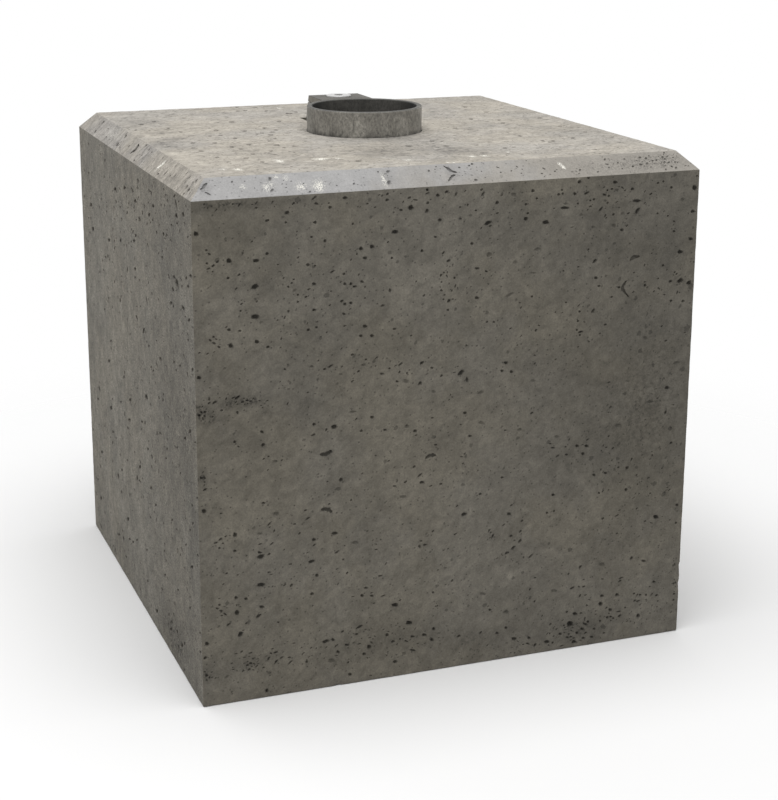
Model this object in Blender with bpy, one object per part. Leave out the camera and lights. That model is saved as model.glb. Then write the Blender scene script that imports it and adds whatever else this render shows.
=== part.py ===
"""A precast concrete base block with a steel socket for a round post and a wedge lock that grips the post.

Metres, +Z up. The origin is the centre of the block's underside. The lock is behind the socket, towards +Y.
The lock is modelled open: the screw then draws the nut and the wedge up, and the sloping back of the lock's
case pushes the wedge through the tube's window against the post.
"""

import math

import bmesh
import bpy
from mathutils import Vector

# Block
block_width = 0.300
block_height = 0.296
edge_chamfer = 0.0102

# Clearances
fit_gap = 0.0003
cut_over = 0.002

# Post that the socket takes, and the socket's tube
post_diameter = 0.0603
post_clearance = 0.00225
tube_wall = 0.0032
collar_height = 0.0155
rim_break = 0.0004
tube_sides = 96

# Bar through the tube: it anchors the tube in the concrete, and the post stands on it
bar_diameter = 0.012
bar_length = 0.200
bar_height = 0.040
bar_sides = 24

# Lock screw, a countersunk one with a hexagon socket
screw_behind_tube = 0.0129
screw_diameter = 0.008
screw_head_diameter = 0.016
screw_head_rim = 0.0004
screw_head_proud = 0.0009
screw_socket_width = 0.005
screw_socket_depth = 0.0032
screw_tip_chamfer = 0.001
screw_past_wedge = 0.005
screw_hole_gap = 0.0005
screw_sides = 32

# Wedge and the window that it comes through
wedge_height = 0.029
wedge_stand_off = 0.0025
seat_gap = 0.00015
seat_sides = 96
window_below_rim = 0.0115
window_margin = 0.0006

# Square nut, held in the wedge
nut_width = 0.013
nut_height = 0.0065
nut_ledge = 0.004

# Lock case behind the tube, folded from sheet, with a sloping back
case_width = 0.0336
case_sheet = 0.003
case_behind_screw = 0.0108
case_below_screw = 0.002
back_slope = math.radians(20)
lid_thickness = 0.004
floor_thickness = 0.003

# Rebate that the mould leaves in the concrete round the case
rebate_margin = 0.0035
rebate_depth = 0.008

# Socket
half_width = block_width / 2
bore_radius = post_diameter / 2 + post_clearance
tube_radius = bore_radius + tube_wall
rim_level = block_height + collar_height

# Lock, from the rim downwards
slope = math.tan(back_slope)
wedge_push = post_clearance + wedge_stand_off
wedge_rise = wedge_push / slope
window_top = rim_level - window_below_rim
wedge_top = window_top - window_margin - wedge_rise
wedge_bottom = wedge_top - wedge_height
nut_bottom = wedge_bottom + nut_ledge
head_top = rim_level + screw_head_proud
screw_tip = wedge_bottom - screw_past_wedge
case_floor_level = screw_tip - case_below_screw
case_bottom = case_floor_level - floor_thickness
lid_underside = rim_level - lid_thickness

# Lock, from the tube backwards
screw_offset = tube_radius + screw_behind_tube
case_reach = screw_offset + case_behind_screw
sheet_along_y = case_sheet / math.cos(back_slope)
gap_along_y = fit_gap / math.cos(back_slope)
case_inner_width = case_width - 2 * case_sheet
wedge_width = case_inner_width - 2 * fit_gap


def back_at(level, inset=0.0):
    """Y of the case's sloping back at a level, moved inwards along Y by inset."""
    return case_reach + (rim_level - level) * slope - inset


def clear_scene():
    for old in list(bpy.data.objects):
        bpy.data.objects.remove(old)


def make_material(name, colour, roughness, metallic):
    material = bpy.data.materials.new(name)
    material.use_nodes = True
    shader = material.node_tree.nodes["Principled BSDF"]
    shader.inputs["Base Color"].default_value = (*colour, 1)
    shader.inputs["Roughness"].default_value = roughness
    shader.inputs["Metallic"].default_value = metallic
    return material


def add_object(name, shape, material=None, smooth=False):
    """Turns a bmesh into an object with its faces pointing out."""
    bmesh.ops.recalc_face_normals(shape, faces=shape.faces)
    mesh = bpy.data.meshes.new(name)
    shape.to_mesh(mesh)
    shape.free()
    made = bpy.data.objects.new(name, mesh)
    bpy.context.scene.collection.objects.link(made)
    if material:
        mesh.materials.append(material)
    if smooth:
        mesh.shade_smooth()
        mesh.set_sharp_from_angle(angle=math.radians(30))
    return made


def prism(outline, travel):
    """A flat outline of points in space, pushed along travel."""
    shape = bmesh.new()
    face = shape.faces.new([shape.verts.new(point) for point in outline])
    pushed = bmesh.ops.extrude_face_region(shape, geom=[face])
    moved = [item for item in pushed["geom"] if isinstance(item, bmesh.types.BMVert)]
    bmesh.ops.translate(shape, verts=moved, vec=Vector(travel))
    return shape


def upright(outline, bottom, top):
    """A prism standing along Z, from an outline in X and Y."""
    return prism([(x, y, bottom) for x, y in outline], (0, 0, top - bottom))


def crosswise(outline, width):
    """A prism along X, centred on X = 0, from an outline in Y and Z."""
    return prism([(-width / 2, y, z) for y, z in outline], (width, 0, 0))


def rectangle(low_x, high_x, low_y, high_y):
    return [(low_x, low_y), (high_x, low_y), (high_x, high_y), (low_x, high_y)]


def circle(radius, sides, centre_x=0.0, centre_y=0.0):
    turns = [2 * math.pi * i / sides for i in range(sides)]
    return [(centre_x + radius * math.cos(a), centre_y + radius * math.sin(a)) for a in turns]


def slot(radius, low_y, high_y, sides):
    """A slot's outline along Y: two half circles and the straight sides between them."""
    turns = [2 * math.pi * i / sides for i in range(sides // 2 + 1)]
    far = [(radius * math.cos(a), high_y + radius * math.sin(a)) for a in turns]
    near = [(-x, low_y + high_y - y) for x, y in far]
    return far + near


def turned(profile, sides, centre_y=0.0):
    """A solid of revolution about a vertical axis, from a profile of radius and height."""
    shape = bmesh.new()
    points = [shape.verts.new((radius, 0, height)) for radius, height in profile]
    edges = [shape.edges.new(pair) for pair in zip(points, points[1:])]
    if profile[0][0] > 0:
        edges.append(shape.edges.new((points[-1], points[0])))
    bmesh.ops.spin(shape, geom=points + edges, cent=(0, 0, 0), axis=(0, 0, 1),
                   angle=2 * math.pi, steps=sides, use_merge=True)
    bmesh.ops.remove_doubles(shape, verts=shape.verts, dist=1e-7)
    bmesh.ops.translate(shape, verts=shape.verts, vec=(0, centre_y, 0))
    return shape


def cut(target, name, shape):
    """Takes a shape out of an object."""
    cutter = add_object(name, shape)
    cutter.hide_render = True
    cutter.display_type = "WIRE"
    modifier = target.modifiers.new(name, "BOOLEAN")
    modifier.operation = "DIFFERENCE"
    modifier.solver = "EXACT"
    modifier.object = cutter


def case_side(bottom, top, front=0.0, inset=0.0):
    """The case's outline in Y and Z between two levels, with its sloping back moved inwards by inset."""
    return [(front, bottom), (back_at(bottom, inset), bottom), (back_at(top, inset), top), (front, top)]


def clear_tube(target, name):
    """Keeps a piece that is welded behind the tube clear of its wall."""
    cut(target, name, upright(circle(tube_radius + fit_gap, tube_sides),
                              case_bottom - cut_over, rim_level + cut_over))


def make_block(material):
    """One casting, bevelled round the top and hollow where the steel stands."""
    shape = upright(rectangle(-half_width, half_width, -half_width, half_width), 0, block_height)
    top_edges = [edge for edge in shape.edges if min(v.co.z for v in edge.verts) > block_height / 2]
    bmesh.ops.bevel(shape, geom=top_edges, offset=edge_chamfer, segments=1, affect="EDGES")
    block = add_object("concrete_block", shape, material)

    over_top = block_height + cut_over
    cut(block, "cut_bore", upright(circle(tube_radius + fit_gap, tube_sides), -cut_over, over_top))
    cut(block, "cut_bar_way", crosswise(circle(bar_diameter / 2 + fit_gap, bar_sides, 0, bar_height),
                                        bar_length + 2 * fit_gap))
    cut(block, "cut_pocket", crosswise(case_side(case_bottom - fit_gap, over_top, 0, -gap_along_y),
                                       case_width + 2 * fit_gap))
    rebate_side = case_width / 2 + rebate_margin
    rebate_back = back_at(block_height) + rebate_margin
    cut(block, "cut_rebate", upright(rectangle(-rebate_side, rebate_side, 0, rebate_back),
                                     block_height - rebate_depth, over_top))


def make_tube(material):
    """The socket: open at both ends, with a window for the wedge and two holes for the bar."""
    profile = [
        (bore_radius, 0),
        (tube_radius, 0),
        (tube_radius, rim_level - rim_break),
        (tube_radius - rim_break, rim_level),
        (bore_radius + rim_break, rim_level),
        (bore_radius, rim_level - rim_break),
    ]
    tube = add_object("socket_tube", turned(profile, tube_sides), material, smooth=True)
    behind = tube_radius + cut_over
    window = [(0, case_floor_level), (behind, case_floor_level), (behind, window_top), (0, window_top)]
    cut(tube, "cut_window", crosswise(window, case_inner_width))
    cut(tube, "cut_bar_holes", crosswise(circle(bar_diameter / 2 + fit_gap, bar_sides, 0, bar_height), 2 * behind))


def make_bar(material):
    bar = crosswise(circle(bar_diameter / 2, bar_sides, 0, bar_height), bar_length)
    add_object("anchor_bar", bar, material, smooth=True)


def make_case(material):
    """The lock's case: two cheeks and a sloping back in one sheet, open to the tube."""
    top = lid_underside - fit_gap
    case = add_object("lock_case", crosswise(case_side(case_floor_level, top), case_width), material)
    inside = case_side(case_floor_level - cut_over, top + cut_over, -cut_over, sheet_along_y)
    cut(case, "cut_case_inside", crosswise(inside, case_inner_width))
    clear_tube(case, "cut_case_front")


def make_lid(material):
    """The case's top plate, with a countersunk hole for the screw."""
    lid = add_object("lock_lid", crosswise(case_side(lid_underside, rim_level), case_width), material)
    cone_gap = fit_gap * math.sqrt(2)
    seat_radius = screw_head_diameter / 2 - (screw_head_proud - screw_head_rim) + cone_gap
    hole_radius = screw_diameter / 2 + screw_hole_gap
    seat = [
        (0, lid_underside - cut_over),
        (hole_radius, lid_underside - cut_over),
        (hole_radius, rim_level - (seat_radius - hole_radius)),
        (seat_radius + cut_over, rim_level + cut_over),
        (0, rim_level + cut_over),
    ]
    cut(lid, "cut_lid_seat", turned(seat, screw_sides, screw_offset))
    clear_tube(lid, "cut_lid_front")


def make_case_floor(material):
    """The plate that closes the case below, so that no concrete runs in."""
    outline = case_side(case_bottom, case_floor_level - fit_gap)
    plate = add_object("lock_floor", crosswise(outline, case_width), material)
    clear_tube(plate, "cut_floor_front")


def make_wedge(material):
    """The clamping wedge: its front is hollowed to fit the post, and its back slopes with the case."""
    shape = crosswise(case_side(wedge_bottom, wedge_top, 0, sheet_along_y + gap_along_y), wedge_width)
    wedge = add_object("lock_wedge", shape, material)
    below = wedge_bottom - cut_over
    above = wedge_top + cut_over
    post_seat = circle(post_diameter / 2 + seat_gap, seat_sides, 0, wedge_stand_off)
    cut(wedge, "cut_wedge_seat", upright(post_seat, below, above))
    screw_slot = slot(screw_diameter / 2 + screw_hole_gap, screw_offset, screw_offset + wedge_push, screw_sides)
    cut(wedge, "cut_wedge_slot", upright(screw_slot, below, above))
    side = nut_width / 2 + fit_gap
    nut_place = rectangle(-side, side, screw_offset - side, back_at(wedge_bottom))
    cut(wedge, "cut_nut_place", upright(nut_place, nut_bottom - fit_gap, nut_bottom + nut_height + fit_gap))


def make_nut(material):
    """A square nut that can't turn in the wedge."""
    half = nut_width / 2
    outline = rectangle(-half, half, screw_offset - half, screw_offset + half)
    nut = add_object("lock_nut", upright(outline, nut_bottom, nut_bottom + nut_height), material)
    thread = circle(screw_diameter / 2 + fit_gap, screw_sides, 0, screw_offset)
    cut(nut, "cut_nut_thread", upright(thread, nut_bottom - cut_over, nut_bottom + nut_height + cut_over))


def make_screw(material):
    """The lock screw, with its head just proud of the lid and its origin on its own axis."""
    head = screw_head_diameter / 2
    shank = screw_diameter / 2
    below_rim = head_top - screw_head_rim
    profile = [
        (0, screw_tip),
        (shank - screw_tip_chamfer, screw_tip),
        (shank, screw_tip + screw_tip_chamfer),
        (shank, below_rim - (head - shank)),
        (head, below_rim),
        (head, head_top),
        (0, head_top),
    ]
    shape = turned(profile, screw_sides)
    bmesh.ops.translate(shape, verts=shape.verts, vec=(0, 0, -rim_level))
    screw = add_object("lock_screw", shape, material, smooth=True)
    screw.location = (0, screw_offset, rim_level)
    socket = circle(screw_socket_width / 2 / math.cos(math.pi / 6), 6, 0, screw_offset)
    cut(screw, "cut_screw_socket", upright(socket, head_top - screw_socket_depth, head_top + cut_over))


def main():
    clear_scene()
    make_block(make_material("concrete", (0.31, 0.295, 0.265), 0.92, 0.0))
    make_tube(make_material("tube_steel", (0.22, 0.205, 0.18), 0.6, 0.5))
    make_bar(make_material("bar_steel", (0.20, 0.17, 0.15), 0.7, 0.5))
    make_case(make_material("case_steel", (0.30, 0.29, 0.27), 0.6, 0.5))
    make_lid(make_material("lid_steel", (0.30, 0.29, 0.27), 0.55, 0.5))
    make_case_floor(make_material("floor_steel", (0.22, 0.20, 0.18), 0.65, 0.5))
    make_wedge(make_material("wedge_iron", (0.10, 0.10, 0.10), 0.6, 0.6))
    make_nut(make_material("nut_steel", (0.55, 0.55, 0.54), 0.4, 0.9))
    make_screw(make_material("screw_steel", (0.66, 0.66, 0.65), 0.3, 0.9))


main()
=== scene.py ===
import math
import random
from dataclasses import dataclass

import bmesh
import bpy
import numpy as np
from mathutils import Euler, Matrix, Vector
from mathutils.geometry import delaunay_2d_cdt


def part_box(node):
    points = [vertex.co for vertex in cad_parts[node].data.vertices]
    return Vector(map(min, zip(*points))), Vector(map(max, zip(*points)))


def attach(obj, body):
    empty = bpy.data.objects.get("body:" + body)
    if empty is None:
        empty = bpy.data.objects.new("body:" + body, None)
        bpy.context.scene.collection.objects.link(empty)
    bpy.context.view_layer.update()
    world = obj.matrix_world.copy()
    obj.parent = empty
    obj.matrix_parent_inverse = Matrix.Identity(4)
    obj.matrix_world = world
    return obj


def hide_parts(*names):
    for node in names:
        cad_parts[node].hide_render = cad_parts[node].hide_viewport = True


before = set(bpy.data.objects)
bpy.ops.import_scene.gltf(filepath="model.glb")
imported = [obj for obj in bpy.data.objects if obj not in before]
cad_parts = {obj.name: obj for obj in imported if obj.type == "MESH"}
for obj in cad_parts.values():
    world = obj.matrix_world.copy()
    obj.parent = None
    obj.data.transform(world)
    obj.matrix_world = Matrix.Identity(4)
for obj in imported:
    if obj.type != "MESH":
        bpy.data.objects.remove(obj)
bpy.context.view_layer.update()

# The photograph's frame, in pixels, and the camera that sees the block as it does.
PHOTO_WIDTH = 778
PHOTO_HEIGHT = 800
FOCAL_LENGTH = 1719.2
LENS_CENTRE = (361.17, 339.06)
CAMERA_PLACE = Vector((-0.3652, -1.0024, 0.4452))
CAMERA_DOWN = math.radians(14.896)
CAMERA_RIGHT = math.radians(19.915)
SENSOR_WIDTH = 36.0
NEAREST_SEEN = 0.01

# The block's outer form, read from the frame.
BLOCK_LOW, BLOCK_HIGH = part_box("concrete_block")
HALF_WIDTH = BLOCK_HIGH.x
TOP = BLOCK_HIGH.z
ON_PLANE = 1e-5
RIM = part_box("socket_tube")[1].z
COLLAR_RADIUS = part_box("socket_tube")[1].x
BORE_RADIUS = min(math.hypot(v.co.x, v.co.y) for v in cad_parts["socket_tube"].data.vertices)
SHOULDER = max(v.co.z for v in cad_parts["concrete_block"].data.vertices
               if v.co.x > HALF_WIDTH - ON_PLANE)
CHAMFER = TOP - SHOULDER

# The fine mesh of the cast faces, in metres: its grid, the closer points over small marks, and its joining.
GRID_STEP = 0.0075
GRID_JITTER = 0.3
MARK_POINTS = 4
MARK_REACH = 1.8
SMALLEST_SPREAD = 0.0010
CDT_UNIT = 0.001
CDT_GAP = 1e-5
CDT_TRIANGLES = 0
CHUNK = 4096
MERGED = 1e-6
WELDED = 2e-6

# The outer edges, which are worn, chipped and finely rounded.
EDGE_STEP = 0.004
EDGE_UNEVEN = (0.8, 1.2)
EDGE_WEAR = 0.00014
CORNER_WEAR = 0.00012
CHIP_STEP = 0.0012
CHIP_UNEVEN = (0.85, 1.0)
EDGE_ROUND = 0.0003
EDGE_CLEARANCE = 0.0008

# The voids' outlines: their sides, how uneven they are, and the room that each keeps.
RIM_STEP = 0.001
FEWEST_SIDES = 6
MOST_SIDES = 16
SMALL_SIDES = 9
VOID_WOBBLE = 0.2
VOID_GAP = 0.0003
SHRINK = 0.85
HALO = 1.35
BEND_LIFT = 0.4
MARK_SHRINK = 0.94

# How deep the voids are, and how dark the painted shade in them is, deepening from the rim to the floor. The
# rings of a void's wall are given from its rim down: the share of its width, the share of its depth and how
# dark its painted shade is there.
DEEPEST = 0.0026
DARK_FROM = 0.0034
FAINTEST = 0.36
RIM_DARK = 0.32
DEEP_RINGS = [(0.88, 0.24, 0.55), (0.72, 0.62, 0.85), (0.44, 0.90, 1.0)]
SMALL_RINGS = [(0.80, 0.42, 0.65), (0.46, 0.88, 1.0)]
TINY_RINGS = [(0.78, 0.70, 0.95)]
FLOOR_SINK = 0.08
SHALLOW_LOOKS = {"depth_share": 0.18, "dark": 0.5}

# The cracks: their depth, and how unevenly their line and their width run.
CRACK_DEPTH = 0.0012
CRACK_SWAY = 0.0002
CRACK_UNEVEN = (0.6, 1.2)
CRACK_TIP = 0.35

# The voids that are strewn or swarm: their spread, and the share of them that is shallow or bent.
LARGEST_SCATTERED = 0.0065
TRIES = 4
TILT_SPREAD = 0.5
SWARM_SPREAD = 0.35
SWARM_STRETCH = (1.1, 1.7)
SHALLOW_SHARE = 0.3
BENT_SHARE = 0.06
BEND = 1.1

# The lumps of a cluster: how far along and across it they lie and their size, as shares of its own.
CLUSTER_LUMPS = [
    (-0.32, 0.1, 0.44), (0.08, -0.05, 0.48), (0.42, 0.22, 0.36), (0.1, 0.60, 0.28), (-0.15, -0.60, 0.28),
]
LUMP_STRETCH = 1.2

# The soft stains strewn over the faces that the photograph doesn't show, in metres.
STREWN_COUNT = 18
STREWN_WIDTHS = (0.006, 0.05)
STREWN_HEIGHTS = (0.005, 0.03)
STREWN_STRENGTHS = [-0.15, 0.2, 0.35, 0.5]

# Voids on the front face, in the photograph's pixels: place, width, and where it isn't round, height and the
# tilt in degrees of its long way, rising to the right.
FRONT_VOIDS = [
    (395, 232, 7, 5), (372, 247, 5), (361, 249, 5), (365, 258, 5, 4), (440, 220, 5, 4), (411, 208, 6),
    (401, 210, 4, 3), (427, 211, 4, 5), (427.5, 190, 5, 6), (438, 195.5, 4), (387, 200, 4), (345, 198, 6, 4),
    (330, 207.5, 4), (287, 213, 6, 4, 40), (315, 222.5, 4), (196, 234, 6), (229, 261, 6, 6, 50),
    (256, 261, 7, 5), (267, 254, 4), (228, 278, 4), (239, 275, 4, 3, 30), (255, 287, 9, 6, 25),
    (255, 317, 9, 6), (314, 284, 5, 4), (314, 310, 5, 4), (308, 265, 4), (351, 284, 4), (345, 284, 4),
    (351, 303, 4), (345, 304, 4), (344, 274, 4, 3, 40), (344, 314, 4, 3, -40), (422, 251, 4),
    (448.5, 261, 5, 3, 30), (325, 241, 4), (308.5, 330, 4), (365, 326.5, 5, 4), (361, 336, 4),
    (372, 336, 5, 4), (257, 342, 6, 5), (231, 346, 5, 6), (229, 330, 4), (240, 331, 4, 3), (268, 347, 4),
    (199, 378, 5), (382, 374, 5, 3), (420, 383.5, 5, 4, 50), (422, 363, 6, 4, 50), (432, 368, 4, 3),
    (334, 427, 7, 5, 15), (314, 424.5, 4), (262, 432, 5, 4, -40), (372, 417.5, 4), (361.5, 431, 4, 3, 30),
    (385, 430, 5, 3), (415, 431, 5, 4), (488, 223, 8, 5, 30), (497, 203, 5, 4, 45), (546, 222.5, 7, 5),
    (565, 208, 9, 4), (526, 219, 5), (533, 191, 4), (472, 244, 4), (448, 261, 4, 3), (477, 268.5, 6, 3),
    (615.4, 182.3, 4.5), (588.5, 178, 4, 3), (597, 178, 3), (626.5, 174.5, 3), (601, 209, 7, 3, 50),
    (637, 201, 9, 4), (632.5, 189, 4), (622, 230, 4), (680, 252, 6, 5), (680, 281, 8, 5, 35),
    (691, 239, 5, 4), (671, 301, 4, 3, 35), (596, 278, 4), (599, 286, 4, 3), (477, 298, 5, 4),
    (506, 363, 5, 4), (502, 371, 4), (511.5, 372, 4), (465, 413, 4), (667, 388, 5, 4), (446.5, 192, 4, 3, 30),
    (422, 482.5, 6, 4), (341, 480, 5, 4, 70), (263, 445, 5, 4, 60), (204, 511.5, 5, 6), (235, 535, 5, 6),
    (235, 551, 4), (263.5, 503, 5, 3), (261, 557, 9, 5, 20), (261, 585, 9, 5), (314, 540, 4),
    (335, 533.5, 7, 4), (317, 575.5, 4), (312, 594, 4), (236, 598, 4), (246, 599, 4), (237, 613, 5, 6),
    (262, 607, 6, 4), (362, 596, 4), (372, 596, 5, 3), (366, 588, 5, 3), (395, 605, 7, 5), (437, 606.5, 5),
    (409, 623, 7, 5), (387, 635, 4), (433.5, 629, 4), (424.5, 635, 6, 4), (432, 640, 4), (333, 640, 4),
    (347, 645, 6, 3), (338, 652, 4), (369, 647, 5), (364, 654, 4), (395, 662, 5, 4), (207, 644, 5),
    (350, 674.5, 4), (267, 691, 4, 5), (656, 517, 6, 5), (509, 514, 5, 4), (464, 514.5, 7, 4, 30),
    (480, 494, 4, 3, 30), (553, 495, 4), (547, 513, 3), (554, 511, 3), (583, 454, 4), (577, 446, 4),
    (586.5, 446, 5, 4), (470, 436, 5, 3), (433, 456, 7, 4), (671, 443, 4, 3, 40), (627, 468, 4),
    (626, 490, 4), (594, 475, 3.5), (677, 505, 3.5), (511, 536, 4, 3, 30), (520, 541, 6, 3, 55),
    (513, 548, 6, 3, 55), (643.5, 561, 5, 3), (654, 582, 3.5), (617, 595, 4), (602, 596, 4), (600.5, 604, 5),
    (610, 610, 4), (638, 616, 5, 4, 70), (570, 624, 7), (575, 614, 5, 4), (582, 629, 4), (591.5, 637, 4, 3),
    (514, 639, 6, 4), (529, 638, 4), (535, 645, 5, 3, 55), (547, 642, 6, 4), (506, 628, 3.5), (497, 633, 3.5),
    (490, 610, 4, 3), (441, 484, 4, 3), (502, 477.5, 4, 3, 30), (455.5, 534, 5, 2, 30),
    (522, 521, 4, 2.5, 40), (579.5, 311.5, 3), (578, 321, 3), (577, 330, 3), (580, 335, 3), (640, 595, 3),
    (646, 595, 3), (487, 322, 3), (494, 322, 3), (298, 295, 3), (298, 302, 3), (306, 297, 3), (288.5, 287, 3),
    (288.5, 311, 3), (365, 287, 2.5), (365, 298, 2.5), (435.5, 237, 4, 3), (476, 210.5, 3), (461, 219, 2.5),
    (526, 204.5, 3.5), (528, 213.5, 3), (537, 198.5, 3), (559, 194.5, 3.5), (562, 190, 3), (575, 194, 4),
    (579.5, 182, 4, 4.5), (578, 203.5, 3), (590.5, 200.5, 3), (594, 199.5, 3), (607.5, 190.5, 3),
    (612, 189, 3), (609, 196, 3), (607.5, 203, 3), (613.5, 214.5, 3.5), (658, 183, 3), (663.5, 181.5, 3),
    (671.5, 187.5, 3.5), (645, 285.5, 3.5), (663, 265.5, 3), (674, 231.5, 3), (674, 221.5, 2.5),
    (668, 216, 2.5), (657.5, 213.5, 2.5), (532, 296.5, 3), (566, 302.5, 2.5), (563.5, 271, 2.5),
    (444, 272.5, 2.5), (441.5, 282, 2.5), (441.5, 290.5, 3), (444.5, 295, 2.5), (443.5, 299.5, 2.5),
    (454.5, 278, 3), (448, 310, 3.5, 3), (286, 222.5, 3), (311.5, 237, 3), (353, 224, 3), (387.5, 194, 3.5),
    (392, 258, 3.5), (315, 266, 3), (390, 290.5, 3, 5), (240.5, 311, 3), (316.5, 327.5, 3),
    (394.5, 329, 4, 3), (285, 369.5, 3), (366, 359.5, 3), (389.5, 368.5, 3), (397, 381.5, 4, 3),
    (234.5, 442, 3.5), (520.5, 531.5, 4, 2.5, 50), (599, 493, 3), (676, 523, 3), (567, 612, 3),
    (433, 592.5, 3), (552.5, 643, 3), (574, 642, 6, 4), (560, 634, 3.5), (588, 622, 3.5), (594, 629, 3),
    (600, 621, 3), (583, 638, 4, 3), (604, 633, 3.5, 2.5), (577, 633, 3.5), (206.3, 250.3, 3),
    (209.3, 254.2, 4, 3, -40), (211, 273, 4, 3, 50), (213.5, 337, 3), (207, 263.5, 3), (219.5, 548, 3),
    (219.5, 605, 3), (619, 287.5, 4, 3),
]
# Torn marks near the front face's left edge, each a chain of such voids.
FRONT_CHAINS = [
    (208.6, 268.8, 5, 2.8, 15), (213.2, 266.0, 5, 3.2, 40), (217.4, 261.8, 5, 2.8, 45),
    (212.6, 271.8, 3, 2.2, 30), (210.3, 340.6, 4, 3, -35), (214.3, 343.4, 4.5, 3.2, -35),
    (218.8, 347, 4.5, 3, -35), (216.4, 339.4, 3, 2, -20), (216, 542.8, 4.5, 2.8, 20),
    (220.4, 539.6, 5, 3, 40), (222.8, 543.4, 3, 2.2, 20), (225.6, 536.4, 3.5, 2.2, 35),
    (217.2, 608.6, 4, 2.6, -25), (221.2, 611, 4.5, 3, -30), (225.2, 614.4, 4.5, 2.6, -40),
    (221.8, 615.8, 3, 2.2, 0),
]
# Voids that run out at the front face's right edge.
FRONT_EDGE_VOIDS = [
    (697, 176, 3.5), (694.5, 188, 5, 7), (693, 211.5, 4.5), (694, 262, 3), (674, 594, 3),
    (676.5, 566, 3.5, 6), (676, 584, 4, 5), (673.5, 600, 3), (691.5, 239.5, 5, 4), (689, 283, 6, 4.5, 30),
    (683, 301, 4, 3, 40),
]
# Shallow voids, and spots where several small ones run together.
FRONT_SHALLOWS = [
    (489, 255, 6), (514, 195, 6), (617, 190.5, 5), (622.5, 214, 6, 4, 60), (537, 249.5, 9, 4, 15),
    (614, 226, 5), (682.5, 200, 5), (606, 276, 4, 3, 40), (480, 393, 8, 4, 30), (481, 423, 7, 5),
    (533, 381, 6, 4), (650, 402, 8, 4), (676, 363, 9, 4, 20), (645, 338, 5), (618, 426, 8, 5),
    (289.5, 382, 6, 3, -35), (364, 365, 6, 4), (406, 381.5, 6), (433.5, 392, 5, 4), (566, 204, 6, 4),
    (581.5, 215, 4), (572, 227.5, 5, 2.5, 30), (593, 227.5, 5, 4), (515, 262.5, 5), (533, 273, 7, 2.5),
    (510, 295, 10, 4, 30), (311.5, 367, 5, 4), (340.5, 374.5, 5, 3), (407, 426.5, 6, 5), (353, 412, 8, 4),
    (403, 497, 9, 4), (275, 461.5, 6, 4), (260, 534, 6, 4), (276, 514, 7, 5), (355, 543, 9, 5), (404, 654, 5),
    (331.5, 661, 8, 6), (269.5, 673, 5, 4), (463, 485, 5, 4), (557, 437, 6, 4), (519, 430, 6, 4, 15),
    (602, 565, 7, 6), (482.5, 594, 6, 4), (554, 591, 7, 4), (506, 612.5, 6), (445, 568, 5, 3),
]
FRONT_CLUSTERS = [
    (206, 676, 8, 7, 0), (250, 664, 9, 5, 20), (610, 617, 8, 6, 0), (201, 479, 8, 8, 40),
    (246, 401, 11, 5, 10), (201, 413, 9, 8, 40), (570, 637, 9, 5, 0), (675, 583, 5, 6, 0),
    (674.5, 565, 4, 7, 0), (437, 606, 4, 4, 0),
]
# Swarms of small marks on the front face: place, half width, half height, how many and their tilt.
FRONT_SWARMS = [
    (236, 405, 40, 8, 34, 35), (236, 206, 42, 5, 12, 35), (302, 202, 30, 6, 8, 20),
    (568, 631, 22, 13, 46, 20), (604, 612, 28, 18, 16, 20), (520, 648, 45, 8, 20, 0),
    (604, 598, 44, 22, 30, 30), (640, 478, 44, 26, 24, 40), (664, 284, 20, 14, 14, 20),
    (622, 203, 50, 18, 30, 30), (512, 540, 26, 24, 18, 50), (205, 678, 12, 12, 10, 0),
    (255, 664, 28, 9, 16, 20), (380, 640, 60, 16, 26, 0), (590, 452, 40, 26, 20, 30),
    (447, 282, 12, 22, 14, 80), (404, 200, 44, 12, 18, 30), (205, 478, 12, 10, 10, 40),
    (203, 415, 14, 10, 14, 40), (440, 385, 30, 18, 12, 40), (360, 372, 50, 20, 18, 30),
    (686, 560, 9, 60, 14, 60), (560, 320, 60, 30, 14, 30), (470, 200, 40, 12, 12, 30),
    (310, 300, 50, 40, 22, 30), (300, 560, 50, 40, 20, 30), (430, 470, 50, 30, 16, 30),
    (660, 600, 24, 14, 10, 30), (235, 662, 40, 11, 34, 25), (322, 652, 52, 14, 32, 25),
    (400, 638, 44, 14, 20, 10), (250, 600, 50, 40, 22, 30), (330, 560, 80, 60, 26, 30),
    (640, 500, 40, 60, 20, 40),
]
LEFT_SWARMS = [
    (120, 195, 40, 20, 30, 5), (150, 210, 36, 34, 36, 5), (110, 230, 26, 26, 18, 5),
    (170, 240, 20, 40, 20, 5), (110, 270, 20, 50, 16, 5), (180, 300, 12, 50, 14, 5),
    (150, 340, 40, 60, 16, 5), (175, 640, 16, 26, 16, 10), (122, 545, 10, 20, 10, 10),
    (187, 560, 8, 60, 12, 10), (150, 420, 40, 80, 24, 10),
]
SLOPE_SWARMS = [
    (645, 162, 12, 7, 14, 0), (668, 160, 16, 7, 24, 20), (606, 163, 8, 7, 8, 0), (575, 171, 30, 3, 8, 0),
    (690, 165, 6, 3, 6, 0), (500, 172, 60, 6, 12, 0), (300, 186, 90, 6, 16, 0),
]
# The middle sizes of the marks in the swarms, in metres.
SWARM_SIZE = 0.0013
FLANK_SWARM_SIZE = 0.0021
SLOPE_SWARM_SIZE = 0.0010
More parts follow.
